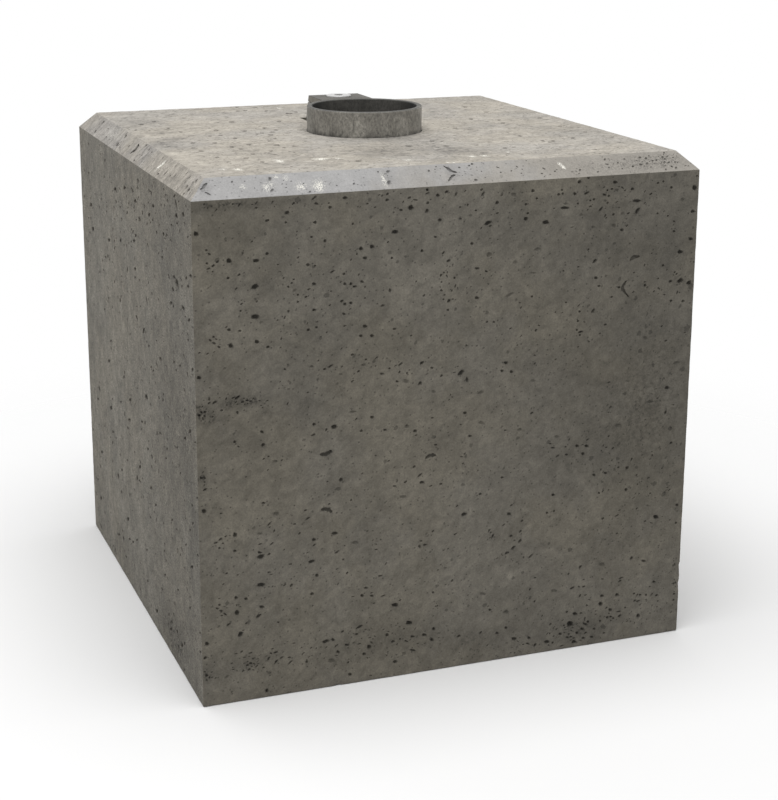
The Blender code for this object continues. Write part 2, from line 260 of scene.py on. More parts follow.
# Voids on the other faces that the photograph shows. Those on the left face share two sizes.
LEFT_VOIDS = [
    (115, 189), (135, 201), (153, 206), (149, 215), (91, 205), (124.5, 188), (93, 229), (134, 241),
    (109, 240), (174, 277), (188, 286.5), (190.5, 276), (189, 320), (135, 269), (171, 303), (109, 361),
    (158, 181), (130, 400), (111, 408), (129.5, 420), (190, 431.5), (185, 438.5), (140, 467), (128, 519),
    (151, 488), (192, 567), (157, 611), (171, 629), (182, 645.5),
]
LEFT_VOID_SIZE = (2.5, 4.4)
LEFT_SMALL_VOIDS = [
    (188, 340), (197, 498), (200, 633), (200.5, 652), (190, 608), (195, 442.5), (197.4, 460), (151, 367.5),
    (113, 432), (148, 449), (160, 433), (167, 449), (166, 458), (177, 447.5), (137, 540), (133, 542),
    (129.7, 539), (119, 534.6), (147.7, 581), (147, 550), (124, 377), (121, 402), (98, 399), (128, 428),
    (111, 341), (174, 362), (180, 366), (163, 400), (142, 422), (102, 452), (122, 470), (156, 505),
    (172, 520), (186, 545), (165, 575), (178, 590),
]
LEFT_SMALL_VOID_SIZE = (1.7, 3.4)
TOP_VOIDS = [
    (232, 147, 5, 1.5), (193, 148, 5, 1.5), (241, 149, 6, 1.5), (246, 158, 6, 1.5), (271, 135, 6, 1.5),
    (276, 130, 5, 1.5), (262, 133, 5, 1.5), (277, 145, 7, 1.5), (253, 154, 5, 1.5), (262, 162, 5, 1.5),
    (358, 161, 7, 1.9), (409, 146, 8, 1.9), (505, 148, 5, 1.5), (573, 138, 5, 1.5), (553, 141, 4, 1.5),
    (503, 123, 5, 1.5), (471, 119, 5, 1.5), (499, 120, 4, 1.5), (540, 118, 5, 1.2), (550, 142, 5, 1.5),
    (455, 128, 5, 1.5), (245, 131, 5, 1.5), (215, 143, 5, 1.5), (181, 132, 4, 1.2), (141, 124.5, 6, 1.5),
    (154, 121.5, 5, 1.5), (184, 118, 5, 1.2), (237, 107, 4, 1.2), (238, 111, 5, 1.2), (245, 110.5, 5, 1.2),
    (232, 122, 6, 1.5), (216, 130.5, 5, 1.5), (220.5, 135.5, 5, 1.5), (210, 136, 4, 1.2),
    (249, 144.5, 6, 1.5), (235, 138.5, 5, 1.5), (257, 134, 4, 1.2), (272, 132, 6, 1.5), (275, 138.5, 4, 1.2),
    (264.5, 128, 5, 1.5), (269, 141, 4, 1.2), (279, 121.5, 5, 1.5), (289, 113.5, 8, 1.5), (296, 112, 4, 1.2),
    (266, 111, 4, 1.2), (255, 107.5, 5, 1.2), (271, 151, 5, 1.5), (284, 147.5, 4, 1.2), (295, 146, 6, 1.5),
    (217, 157.5, 5, 1.5), (201, 151, 7, 1.5), (193, 143, 6, 1.5), (432, 141, 6, 1.5), (446, 146, 7, 1.5),
    (520, 136, 5, 1.2), (585, 132, 5, 1.2), (465, 107, 5, 1.2), (486, 112, 5, 1.2), (560, 126, 5, 1.2),
    (612, 137, 5, 1.2),
]
CHAMFER_VOIDS = [
    (640, 157.5, 4, 2.5), (646, 158.5, 3), (641, 164.5, 4, 2.5), (647, 163.5, 3), (662.5, 157.5, 3),
    (664.5, 162.5, 3), (666, 169.5, 3, 2.5, -40), (671, 151.5, 5, 2.5), (659, 152.5, 2.5, 4),
    (656.5, 160.5, 2.5), (605, 159.5, 3), (618, 163, 2.5), (609, 167.5, 3, 2), (629, 174, 2.5),
    (598, 172, 2.5), (270, 179, 4, 5), (272, 190.5, 5, 3, 30), (388, 171.5, 5, 3), (389, 182.5, 4, 5),
    (472, 164, 4, 3), (476, 180, 4, 3), (643, 166, 6, 3), (664, 153, 3, 3), (665, 159, 3, 3),
    (676, 168, 3, 3), (232, 182, 3, 3), (310, 192, 3, 3), (354, 184, 3, 3), (429, 171, 3, 3),
    (580, 170, 3, 3),
]
LEFT_CHAMFER_VOIDS = [
    (95.4, 131.3, 4.4, 1.4, 52), (103.1, 122.5, 5, 1.4, 45), (117.6, 144.5, 6, 1.4, 52),
    (125.4, 136.5, 5.5, 1.7, 52), (90, 118.5, 3, 1.2, 45), (143, 141.5, 4, 1.4, 50), (108, 129, 2.5, 1.1, 50),
    (113.5, 137, 2.5, 1.1, 50), (106, 137, 2.5, 1.1, 50), (120, 129, 3, 1.1, 50), (129, 146, 3, 1.2, 50),
    (146, 145.5, 3, 1.6, 50), (200, 177, 4, 1.8, 50), (196, 181, 5, 1.6, 55), (186.5, 187, 5, 1.8, 50),
    (183.5, 194, 4, 2, 45), (188.5, 190, 5, 1.6, 50), (192.5, 183, 4, 1.5, 55), (134, 160.5, 3, 1.6, 45),
    (158, 174, 3, 1.8, 45), (170, 176, 3, 1.5, 50),
]
# Cracks and torn marks in the photograph's pixels: their width, how dark their painted shade is, which also
# sets their depth, and the places they pass.
CRACKS = {
    "front": [
        (3.9, 0.68, (627, 280.5), (624, 284.5), (621.8, 288.5), (624.5, 292), (629, 297)),
        (6.0, 0.85, (319.6, 454.4), (324.5, 455), (328.4, 453.4), (331.8, 450)),
        (5.8, 0.80, (436.4, 455.6), (431.4, 455), (428.2, 456.4), (425.4, 459.6)),
        (5.8, 0.80, (320.6, 510.4), (325.2, 509.2), (328.8, 509.8), (332.0, 512.8)),
        (5.4, 0.66, (640.0, 256.6), (635.6, 257), (632.6, 258.4), (630.0, 261.2)),
    ],
    "front_slope": [
        (3.3, 0.72, (443.6, 165.8), (447.5, 168.3), (450.5, 170.6), (454, 171.9), (457.5, 172.8)),
        (3.2, 0.70, (455.4, 174.5), (452, 176.2), (451.2, 178.6), (448.4, 181.4)),
        (3.6, 0.60, (200, 189.5), (203.5, 188.5), (205, 185.5), (207, 182.5)),
        (2.4, 0.50, (204, 191.5), (207, 193), (211.5, 195.5)),
    ],
    "left_slope": [
        (2.6, 1.0, (138.5, 143.8), (137.2, 147), (135.4, 149.6), (132.6, 151.4), (129.5, 153.8)),
    ],
}

# Stains in the photograph's pixels: place, half width, half height and strength, below 0 where it is paler.
# The broad faint ones over the front face's right part are painted shade, for the dimmer light there.
STAINS_AND_PAINTED_SHADE = {
    "front": [
        (226, 204, 42, 5, 0.70), (300, 202, 60, 6, 0.32), (199, 411, 10, 9, 1.0), (208, 420, 12, 6, 0.7),
        (250, 401, 16, 6, 0.9), (228, 404, 8, 6, 0.7), (264, 412, 6, 5, 0.6), (200, 479, 9, 8, 0.8),
        (206, 676, 10, 8, 0.7), (250, 664, 22, 8, 0.6), (220, 300, 30, 60, -0.12), (420, 260, 50, 30, -0.14),
        (330, 380, 50, 30, 0.12), (565, 625, 60, 16, 0.35), (577, 632, 24, 12, 0.30),
        (640, 640, 70, 14, 0.20), (638, 595, 13, 38, -0.25), (510, 577, 3, 5, -0.9), (610, 460, 90, 80, 0.14),
        (560, 220, 90, 30, 0.10), (250, 235, 40, 14, 0.25), (400, 640, 60, 14, 0.28),
        (440, 500, 70, 60, -0.10), (210, 240, 24, 30, 0.20), (688, 560, 8, 60, 0.30),
        (250, 430, 60, 14, 0.15), (674, 330, 70, 220, 0.42), (600, 330, 60, 200, 0.12),
        (470, 640, 30, 10, 0.5), (620, 415, 60, 60, 0.12), (530, 410, 50, 50, 0.12), (620, 245, 50, 40, 0.08),
        (600, 570, 70, 40, 0.08),
    ],
    "left": [
        (122, 542, 8, 16, 0.6), (175, 640, 16, 26, 0.6), (110, 300, 14, 90, -0.06), (187, 420, 8, 40, 0.25),
        (194, 560, 7, 150, 0.35), (178, 235, 14, 24, 0.15), (100, 480, 8, 36, 0.2), (172, 400, 24, 300, 0.36),
        (166, 250, 20, 40, 0.14), (166, 430, 20, 44, 0.18), (112, 480, 20, 60, -0.10),
    ],
    "top": [
        (162, 144, 18, 5, 0.6), (146, 123, 12, 1.6, 0.5), (158, 133, 14, 1.5, 0.5), (176, 139, 12, 1.5, 0.6),
        (172, 147, 9, 1.6, 0.5), (205, 128, 12, 1.3, 0.4), (385, 150, 50, 7, 0.60), (455, 150, 30, 5, 0.70),
        (150, 126, 40, 10, 0.25), (310, 128, 16, 6, 0.25), (395, 137, 40, 5, 0.60), (590, 128, 60, 6, 0.20),
        (250, 128, 60, 6, -0.12), (520, 145, 60, 6, -0.12),
    ],
    "front_slope": [
        (203, 189, 7, 7, 0.62), (271, 185, 5, 6, 0.35), (388, 177, 5, 6, 0.35), (645, 162, 26, 10, 0.45),
        (600, 167, 44, 10, 0.42), (672, 160, 20, 8, 0.50), (452, 174, 6, 6, 0.3), (500, 175, 40, 6, 0.1),
    ],
    "left_slope": [
        (112, 140, 10, 3, 0.3), (190, 190, 8, 5, 0.5), (178, 180, 10, 5, 0.3),
    ],
}

# Flecks of pale lime, given as the stains are.
FLECKS = {
    "top": [
        (238, 169.5, 5, 1.4, 0.9), (223, 169.5, 3, 1.4, 0.8), (279, 161, 5, 1.8, 1.0),
        (321, 159, 9, 1.3, 1.0), (338, 158.5, 4, 1.0, 0.7), (484, 155.6, 4, 1.2, 0.9),
        (408, 160, 5, 1.2, 0.8), (472, 156.4, 4, 1.0, 1.0), (279, 108, 4, 1.2, 0.7), (508, 152, 3, 1.0, 0.8),
        (447.8, 162.6, 1.5, 0.6, 1.0), (453.6, 162.4, 1.5, 0.6, 1.0),
    ],
    "left": [
        (112.6, 218, 0.8, 8, 0.5), (116.5, 176, 0.8, 5, 0.5), (113.6, 252, 0.8, 7, 0.5),
        (121, 307, 1.0, 9, 0.5), (136, 217, 0.8, 4, 0.45),
    ],
    "front_slope": [
        (559.5, 164, 2.4, 1.8, 1.0), (563.5, 167.5, 2.4, 2.4, 1.0), (276, 176.8, 2.4, 1.6, 0.9),
        (272, 184, 5, 6, 0.45), (243, 187, 4, 3, 0.7), (266, 188, 4, 5, 0.7),
        (301, 187, 6, 5, 0.8), (319, 186, 7, 7, 0.9), (384, 180, 3, 8, 0.8), (285.5, 178, 3, 4, 0.6),
    ],
    "left_slope": [
        (163.4, 163.2, 1.0, 1.0, 1.6), (161.2, 165.2, 1.0, 1.0, 1.6), (158.5, 167.2, 1.2, 1.0, 1.6),
        (112, 134, 14, 12, 0.45),
    ],
}

# Marks on the collar, given as the stains are, but with the shade that the steel takes there.
COLLAR_MARKS = [
    (346.6, 118.1, 2.2, 0.9, 1.35), (357.8, 123.1, 2.6, 3.2, 1.25), (353.6, 126.0, 0.9, 8.0, 0.70),
    (388.0, 115.5, 1.4, 2.6, 0.75), (388.4, 123.0, 1.8, 2.4, 0.82), (378.0, 132.6, 1.0, 2.0, 0.60),
    (392.9, 133.0, 1.0, 2.4, 0.50), (388.0, 135.5, 4.0, 1.1, 0.55), (377.2, 137.0, 3.5, 1.0, 0.55),
    (346.6, 137.3, 4.0, 1.0, 0.60), (318.1, 124.7, 0.9, 3.0, 0.75), (315.6, 112.3, 1.2, 1.2, 1.30),
    (413.2, 119.0, 0.8, 7.0, 0.82), (324.3, 112.3, 5.0, 2.4, 0.86), (324.7, 134.6, 3.0, 1.0, 0.60),
    (350.8, 124.0, 1.8, 5.0, 1.12), (372.2, 126.4, 7.0, 3.6, 1.10),
]
# A pixel's width on the collar, in metres.
PIXEL_ON_COLLAR = 0.00062

# Chips along the outer edges: the edge's two corners, how far along it, the chip's length and its depth.
EDGE_CHIPS = [
    ("B1", "S1", 0.150, 0.0040, 0.0005), ("B1", "S1", 0.110, 0.0050, 0.0005),
    ("B0", "B1", 0.265, 0.0050, 0.0006), ("S0", "S1", 0.742, 0.0040, 0.0005),
    ("S0", "T0", 0.450, 0.0030, 0.0004), ("B1", "B2", 0.550, 0.0080, 0.0008),
    ("B2", "S2", 0.700, 0.0070, 0.0008), ("S2", "S3", 0.220, 0.0050, 0.0008),
    ("S1", "S2", 0.600, 0.0040, 0.0007), ("B2", "B3", 0.400, 0.0100, 0.0009),
]

# The voids that the photograph shows on each face, with their depth as a share of their width and how dark
# their painted shade is, and the face's clusters and swarms. The clusters are laid first and the swarms last.
PHOTO_VOIDS = {
    "front": [(FRONT_CHAINS + FRONT_VOIDS + FRONT_EDGE_VOIDS, 0.5, 1.0), (FRONT_SHALLOWS, 0.16, 0.5)],
    "left": [([(x, y, *LEFT_VOID_SIZE) for x, y in LEFT_VOIDS], 0.5, 0.9),
             ([(x, y, *LEFT_SMALL_VOID_SIZE) for x, y in LEFT_SMALL_VOIDS], 0.5, 0.8)],
    "top": [(TOP_VOIDS, 0.35, 0.72)],
    "front_slope": [(CHAMFER_VOIDS, 0.35, 1.0)],
    "left_slope": [(LEFT_CHAMFER_VOIDS, 0.5, 0.9)],
}
CLUSTERS = {"front": FRONT_CLUSTERS}
SWARMS = {
    "front": (FRONT_SWARMS, SWARM_SIZE),
    "left": (LEFT_SWARMS, FLANK_SWARM_SIZE),
    "front_slope": (SLOPE_SWARMS, SLOPE_SWARM_SIZE),
}


def camera_turn():
    return Euler((math.pi / 2 - CAMERA_DOWN, 0, -CAMERA_RIGHT)).to_matrix()


def seen_along(x, y):
    """The way from the camera through the photograph's pixel."""
    east = (x - LENS_CENTRE[0]) / FOCAL_LENGTH
    up = (LENS_CENTRE[1] - y) / FOCAL_LENGTH
    return camera_turn() @ Vector((east, up, -1))


def round_pairs(items):
    """Each item with the one after it, and the last with the first."""
    return zip(items, items[1:] + items[:1])


def new_object(name, data):
    """A new object in the scene."""
    made = bpy.data.objects.new(name, data)
    bpy.context.scene.collection.objects.link(made)
    return made


def new_mesh(name, mesh):
    """The scene's own copy of a bmesh, which is freed."""
    data = bpy.data.meshes.new(name)
    mesh.to_mesh(data)
    mesh.free()
    return data


def seen_on_collar(x, y):
    """Where the photograph's pixel lies on the outside of the collar."""
    ray = seen_along(x, y)
    size = ray.x ** 2 + ray.y ** 2
    middle = CAMERA_PLACE.x * ray.x + CAMERA_PLACE.y * ray.y
    beyond = CAMERA_PLACE.x ** 2 + CAMERA_PLACE.y ** 2 - COLLAR_RADIUS ** 2
    return CAMERA_PLACE + ray * (-middle - math.sqrt(middle ** 2 - size * beyond)) / size


def make_camera():
    """The camera of the photograph: its place and lens, and the part of its picture that is kept."""
    data = bpy.data.cameras.new("camera")
    data.sensor_width = SENSOR_WIDTH
    data.lens = FOCAL_LENGTH / PHOTO_HEIGHT * SENSOR_WIDTH
    data.shift_x = (PHOTO_WIDTH / 2 - LENS_CENTRE[0]) / PHOTO_HEIGHT
    data.shift_y = (LENS_CENTRE[1] - PHOTO_HEIGHT / 2) / PHOTO_HEIGHT
    data.clip_start = NEAREST_SEEN
    camera = new_object("camera", data)
    camera.location = CAMERA_PLACE
    camera.rotation_euler = camera_turn().to_euler()
    bpy.context.scene.camera = camera


@dataclass
class Face:
    """One outer face of the block: its corners, counter-clockwise from outside, and its plane."""
    name: str
    keys: list
    material: int
    number: int = 0

    def __post_init__(self):
        self.corners = [CORNERS[key] for key in self.keys]
        self.origin = self.corners[0]
        self.across = (self.corners[1] - self.origin).normalized()
        self.normal = self.across.cross(self.corners[2] - self.corners[1]).normalized()
        self.up = self.normal.cross(self.across)

    def flat(self, point):
        """A point of space, in the face's own plane."""
        offset = point - self.origin
        return Vector((offset.dot(self.across), offset.dot(self.up)))

    def solid(self, point, depth=0.0):
        """A point of the face's plane, in space, sunk by a depth."""
        return self.origin + self.across * point.x + self.up * point.y - self.normal * depth

    def seen_at(self, x, y):
        """Where the photograph's pixel lies on the face, in its own plane."""
        ray = seen_along(x, y)
        reach = (self.origin - CAMERA_PLACE).dot(self.normal) / ray.dot(self.normal)
        return self.flat(CAMERA_PLACE + ray * reach)

    def seen_mark(self, x, y, half_width, half_height):
        """The middle of a mark of the photograph on the face, and its half width and half height there."""
        centre = self.seen_at(x, y)
        across = abs(self.seen_at(x + half_width, y).x - centre.x)
        up = abs(self.seen_at(x, y + half_height).y - centre.y)
        return centre, across, up

    def box(self):
        """The lowest and the highest place of the face, in its own plane."""
        points = [self.flat(corner) for corner in self.corners]
        low = Vector((min(p.x for p in points), min(p.y for p in points)))
        high = Vector((max(p.x for p in points), max(p.y for p in points)))
        return low, high


def block_corners():
    """The block's corners: B0 to B3 round its foot, S0 to S3 below the chamfer and T0 to T3 round its top."""
    found = {}
    for number, (east, north) in enumerate([(-1, -1), (1, -1), (1, 1), (-1, 1)]):
        for letter, half_width, height in (("B", HALF_WIDTH, 0), ("S", HALF_WIDTH, SHOULDER),
                                           ("T", HALF_WIDTH - CHAMFER, TOP)):
            found[f"{letter}{number}"] = Vector((east * half_width, north * half_width, height))
    return found


CORNERS = block_corners()
SIDE, FLANK, UPPER, SLOPE, FLANK_SLOPE = range(5)
INNER_WALL = 0


def block_faces():
    """The block's ten outer faces."""
    faces = {}
    for number, name in enumerate(["front", "right", "back", "left"]):
        after = (number + 1) % 4
        wall, slope = (FLANK, FLANK_SLOPE) if number % 2 == 1 else (SIDE, SLOPE)
        for end, material, low, high in (("", wall, "B", "S"), ("_slope", slope, "S", "T")):
            keys = [f"{low}{number}", f"{low}{after}", f"{high}{after}", f"{high}{number}"]
            faces[name + end] = Face(name + end, keys, material)
    faces["top"] = Face("top", ["T0", "T1", "T2", "T3"], UPPER)
    faces["underside"] = Face("underside", ["B3", "B2", "B1", "B0"], SIDE)
    for number, face in enumerate(faces.values(), INNER_WALL + 1):
        face.number = number
    return faces


FACES = block_faces()


class Mark:
    """A void or a crack, which is drawn as rings about its centre."""

    def tiny(self):
        return False

    def reach(self):
        return max((point - self.centre).length for point in self.ring(1.0 if self.tiny() else HALO))


@dataclass
class Void(Mark):
    """A hole left by an air bubble: its centre and half axes in the face's plane, and its depth."""
    centre: Vector
    along: Vector
    across: Vector
    depth: float
    dark: float
    bend: float
    wobble: list

    def ring(self, share):
        """The void's outline, drawn in towards its middle by a share."""
        points = []
        count = len(self.wobble)
        for number, wobble in enumerate(self.wobble):
            turn = math.tau * number / count
            lift = self.bend * (share * share * math.cos(turn) ** 2 - BEND_LIFT)
            x = share * (1 + wobble) * math.cos(turn)
            y = share * (1 + wobble) * math.sin(turn) + lift
            points.append(self.centre + self.along * x + self.across * y)
        return points

    def tiny(self):
        return len(self.wobble) == FEWEST_SIDES

    def shrink(self):
        self.along *= SHRINK
        self.across *= SHRINK


class Crack(Mark):
    """A crack that wanders through a face: the points of its middle line, and its half width at each."""

    def __init__(self, rng, places, half_width, dark):
        self.dark = dark
        self.depth = CRACK_DEPTH * dark
        line = []
        for start, end in zip(places, places[1:]):
            steps = max(1, round((end - start).length / RIM_STEP))
            line += [start.lerp(end, step / steps) for step in range(steps)]
        line.append(places[-1])
        last = len(line) - 1
        self.middle = [(line[max(n - 1, 0)] + line[n] * 2 + line[min(n + 1, last)]) / 4
                       for n in range(last + 1)]
        for point in self.middle:
            point += Vector((rng.uniform(-CRACK_SWAY, CRACK_SWAY), rng.uniform(-CRACK_SWAY, CRACK_SWAY)))
        self.half_widths = []
        for number in range(last + 1):
            taper = CRACK_TIP + (1 - CRACK_TIP) * math.sin(math.pi * number / last)
            self.half_widths.append(half_width * rng.uniform(*CRACK_UNEVEN) * taper)
        self.centre = sum(self.middle, Vector((0, 0))) / (last + 1)

    def ring(self, share):
        """The crack's outline, with its width drawn in by a share."""
        sides = [[], []]
        last = len(self.middle) - 1
        for number, (point, half_width) in enumerate(zip(self.middle, self.half_widths)):
            way = (self.middle[min(number + 1, last)] - self.middle[max(number - 1, 0)]).normalized()
            aside = Vector((way.y, -way.x)) * half_width * share
            sides[0].append(point + aside)
            sides[1].append(point - aside)
        return sides[0] + sides[1][::-1]

    def shrink(self):
        self.half_widths = [half_width * SHRINK for half_width in self.half_widths]


def make_void(rng, centre, along, across, depth_share=0.5, dark=1.0, bend=0.0):
    """A void with an uneven outline, whose half axes turn counter-clockwise."""
    if along.x * across.y - along.y * across.x < 0:
        across = -across
    round_way = math.pi * (along.length + across.length)
    count = min(MOST_SIDES, max(FEWEST_SIDES, round(round_way / RIM_STEP)))
    wobble = [rng.uniform(-VOID_WOBBLE, VOID_WOBBLE) for _ in range(count)]
    depth = min(DEEPEST, 2 * depth_share * min(along.length, across.length))
    size = min(1.0, (along.length + across.length) / DARK_FROM)
    return Void(centre, along, across, depth, dark * (FAINTEST + (1 - FAINTEST) * size), bend, wobble)


def read_mark(mark):
    """A mark's place, width, height and tilt, where the last ones may be left out."""
    x, y, width = mark[:3]
    height = mark[3] if len(mark) > 3 else width
    tilt = mark[4] if len(mark) > 4 else 0
    return x, y, width, height, math.radians(tilt)


def photo_void(rng, face, mark, **looks):
    """The void that the photograph shows at a mark, laid on the face."""
    x, y, width, height, tilt = read_mark(mark)
    width *= MARK_SHRINK
    height *= MARK_SHRINK
    centre = face.seen_at(x, y)
    along = face.seen_at(x + width / 2 * math.cos(tilt), y - width / 2 * math.sin(tilt)) - centre
    across = face.seen_at(x + height / 2 * math.sin(tilt), y + height / 2 * math.cos(tilt)) - centre
    return make_void(rng, centre, along, across, **looks)


def photo_cluster(rng, face, mark):
    """A group of small voids that run into one dark spot."""
    x, y, width, height, tilt = read_mark(mark)
    found = []
    for along, across, size in CLUSTER_LUMPS:
        far = width * along
        off = height * across
        place_x = x + far * math.cos(tilt) + off * math.sin(tilt)
        place_y = y - far * math.sin(tilt) + off * math.cos(tilt)
        lump = (place_x, place_y, width * size, height * size * LUMP_STRETCH, math.degrees(tilt))
        found.append(photo_void(rng, face, lump))
    return found


def photo_crack(rng, face, width, dark, *places):
    """The crack that the photograph shows between some places, laid on the face."""
    x, y = places[0]
    start = face.seen_at(x, y)
    across = (face.seen_at(x + width / 2, y) - start).length
    up = (face.seen_at(x, y + width / 2) - start).length
    return Crack(rng, [face.seen_at(*place) for place in places], min(across, up), dark)


def swarm_voids(rng, face, swarm, middle_size):
    """A swarm of small marks round a place of the photograph."""
    x, y, half_width, half_height, count, tilt = swarm
    found = []
    for _ in range(count):
        turn = rng.uniform(0, math.tau)
        far = math.sqrt(rng.random())
        centre = face.seen_at(x + half_width * far * math.cos(turn), y + half_height * far * math.sin(turn))
        size = middle_size * math.exp(rng.gauss(0, SWARM_SPREAD))
        stretch = rng.uniform(*SWARM_STRETCH)
        found.append(tilted_void(rng, centre, size, stretch, math.radians(tilt) + rng.gauss(0, TILT_SPREAD)))
    return found


def tilted_void(rng, centre, size, stretch, turn, **looks):
    """A void of a middle size, drawn out along its turn."""
    along = Vector((math.cos(turn), math.sin(turn))) * size * stretch / 2
    across = Vector((-math.sin(turn), math.cos(turn))) * size / stretch / 2
    return make_void(rng, centre, along, across, **looks)


def random_void(rng, face, size, stretch, tilt):
    """A void anywhere on the face, now and then a shallow or a bent one. On the left face none is bent."""
    low, high = face.box()
    centre = Vector((rng.uniform(low.x, high.x), rng.uniform(low.y, high.y)))
    looks = SHALLOW_LOOKS if rng.random() < SHALLOW_SHARE else {}
    bend = rng.choice([-BEND, BEND]) if rng.random() < BENT_SHARE else 0.0
    if face.name == "left":
        bend = 0.0
    return tilted_void(rng, centre, size, stretch, tilt + rng.gauss(0, TILT_SPREAD), bend=bend, **looks)


def inside(points, loop):
    """Which of the points lie inside the closed loop."""
    points = np.asarray(points, float).reshape(-1, 2)
    first = np.asarray(loop, float)
    last = np.roll(first, -1, axis=0)
    rise = last[:, 1] - first[:, 1]
    lean = np.divide(last[:, 0] - first[:, 0], rise, out=np.zeros(len(first)), where=rise != 0)
    found = np.zeros(len(points), bool)
    for start in range(0, len(points), CHUNK):
        x = points[start:start + CHUNK, :1]
        y = points[start:start + CHUNK, 1:]
        crosses = (first[:, 1] > y) != (last[:, 1] > y)
        passed = crosses & (x < first[:, 0] + (y - first[:, 1]) * lean)
        found[start:start + CHUNK] = passed.sum(axis=1) % 2 == 1
    return found


def gaps(points, loop):
    """The distance from each point to the nearest corner of the loop."""
    apart = np.asarray(points)[:, None, :] - np.asarray(loop)[None, :, :]
    return np.sqrt((apart ** 2).sum(axis=2).min(axis=1))


class Bed:
    """The voids laid in one face, each clear of the others, of the face's edge and of its holes."""

    def __init__(self, outline, holes):
        self.outline = np.array(outline)
        self.holes = [np.array(hole) for hole in holes]
        self.voids = []
        self.rims = []
        self.spots = np.zeros((0, 3))

    def beside(self, centre, reach):
        """The numbers of the voids that may come within a reach of a centre."""
        off = self.spots[:, :2] - np.array(centre)
        return np.nonzero((off ** 2).sum(axis=1) < (self.spots[:, 2] + reach) ** 2)[0]

    def clear_of_borders(self, points, gap):
        """Which of the points lie on the face, a gap away from its edge and its holes."""
        keep = inside(points, self.outline) & (gaps(points, self.outline) > gap)
        for hole in self.holes:
            keep &= ~inside(points, hole) & (gaps(points, hole) > gap)
        return keep

    def add(self, void):
        """Lays the void in the face, if there is room for it."""
        rim = np.array(void.ring(1.0))
        if not self.clear_of_borders(rim, EDGE_CLEARANCE).all():
            return False
        reach = void.reach()
        for number in self.beside(void.centre, reach + VOID_GAP):
            other = self.rims[number]
            if gaps(rim, other).min() < VOID_GAP or inside(rim, other).any() or inside(other, rim).any():
                return False
        self.voids.append(void)
        self.rims.append(rim)
        self.spots = np.vstack([self.spots, (void.centre.x, void.centre.y, reach)])
        return True

    def halo_points(self):
        """The points round each void where its painted shade ends, as far as they lie clear of everything
        else.
        """
        found = []
        for number, void in enumerate(self.voids):
            if void.tiny():
                continue
            ring = np.array(void.ring(HALO))
            keep = self.clear_of_borders(ring, VOID_GAP)
            for other in self.beside(void.centre, self.spots[number, 2]):
                if other != number:
                    rim = self.rims[other]
                    keep &= (gaps(ring, rim) > VOID_GAP / 2) & ~inside(ring, rim)
            found += [Vector(point) for point in ring[keep]]
        return found

    def grid_points(self, face):
        """The jittered points between the voids, which carry the stains."""
        rng = random.Random(f"grid of {face.name}")
        low, high = face.box()
        columns = max(2, round((high.x - low.x) / GRID_STEP))
        rows = max(2, round((high.y - low.y) / GRID_STEP))
        points = []
        for row in range(1, rows):
            for column in range(1, columns):
                x = low.x + (high.x - low.x) * (column + rng.uniform(-GRID_JITTER, GRID_JITTER)) / columns
                y = low.y + (high.y - low.y) * (row + rng.uniform(-GRID_JITTER, GRID_JITTER)) / rows
                points.append((x, y))
        points = np.array(points + mark_points(rng, face))
        keep = self.clear_of_borders(points, EDGE_CLEARANCE)
        for x, y, reach in self.spots:
            keep &= ((points - (x, y)) ** 2).sum(axis=1) > (reach + VOID_GAP) ** 2
        return [Vector(point) for point in points[keep]]

    def in_a_void(self, points):
        """Which of the points lie inside a void."""
        found = np.zeros(len(points), bool)
        for (x, y, reach), rim in zip(self.spots, self.rims):
            near = np.nonzero(((points - (x, y)) ** 2).sum(axis=1) < reach ** 2)[0]
            found[near] |= inside(points[near], rim)
        return found


def photo_voids(rng, name):
    """The voids that the photograph shows on one face."""
    face = FACES[name]
    found = [photo_crack(rng, face, *crack) for crack in CRACKS.get(name, [])]
    for mark in CLUSTERS.get(name, []):
        found += photo_cluster(rng, face, mark)
    for marks, depth_share, dark in PHOTO_VOIDS.get(name, []):
        found += [photo_void(rng, face, mark, depth_share=depth_share, dark=dark) for mark in marks]
    swarms, size = SWARMS.get(name, ([], 0))
    for swarm in swarms:
        found += swarm_voids(rng, face, swarm, size)
    return found


@dataclass
class Scatter:
    """The voids strewn over a face: how many, their middle size, its spread, their stretch and their tilt."""
    count: int
    size: float
    spread: float
    stretch: float
    tilt: float


SCATTERS = {
    "front": Scatter(400, 0.0012, 0.32, 1.25, 0.6),
    "right": Scatter(360, 0.0017, 0.42, 1.25, 0.1),
    "back": Scatter(400, 0.0015, 0.45, 1.25, -0.5),
    "left": Scatter(570, 0.0018, 0.36, 1.35, 0.0),
    "top": Scatter(560, 0.0015, 0.38, 1.5, 0.0),
    "underside": Scatter(80, 0.0022, 0.45, 1.15, 0.0),
    "front_slope": Scatter(30, 0.0010, 0.25, 1.1, 0.0),
    "right_slope": Scatter(60, 0.0012, 0.3, 1.3, 1.5),
    "back_slope": Scatter(34, 0.0014, 0.3, 1.1, 0.0),
    "left_slope": Scatter(90, 0.0012, 0.3, 1.5, 1.5),
}


def laid_voids(name, outline, holes):
    """All the voids of one face: those of the photograph first, then strewn ones between them."""
    rng = random.Random(f"voids of {name}")
    bed = Bed(outline, holes)
    for void in photo_voids(rng, name):
        for _ in range(TRIES):
            if bed.add(void):
                break
            void.shrink()
    scatter = SCATTERS[name]
    wanted = len(bed.voids) + scatter.count
    for _ in range(scatter.count * TRIES):
        if len(bed.voids) >= wanted:
            break
        size = min(LARGEST_SCATTERED, scatter.size * math.exp(rng.gauss(0, scatter.spread)))
        bed.add(random_void(rng, FACES[name], size, scatter.stretch, scatter.tilt))
    return bed


def chips_on(start, end):
    """The chips along one outer edge: how far along it, their length and their depth."""
    return [(along, length, depth) for first, second, along, length, depth in EDGE_CHIPS
            if (first, second) == (start, end)]


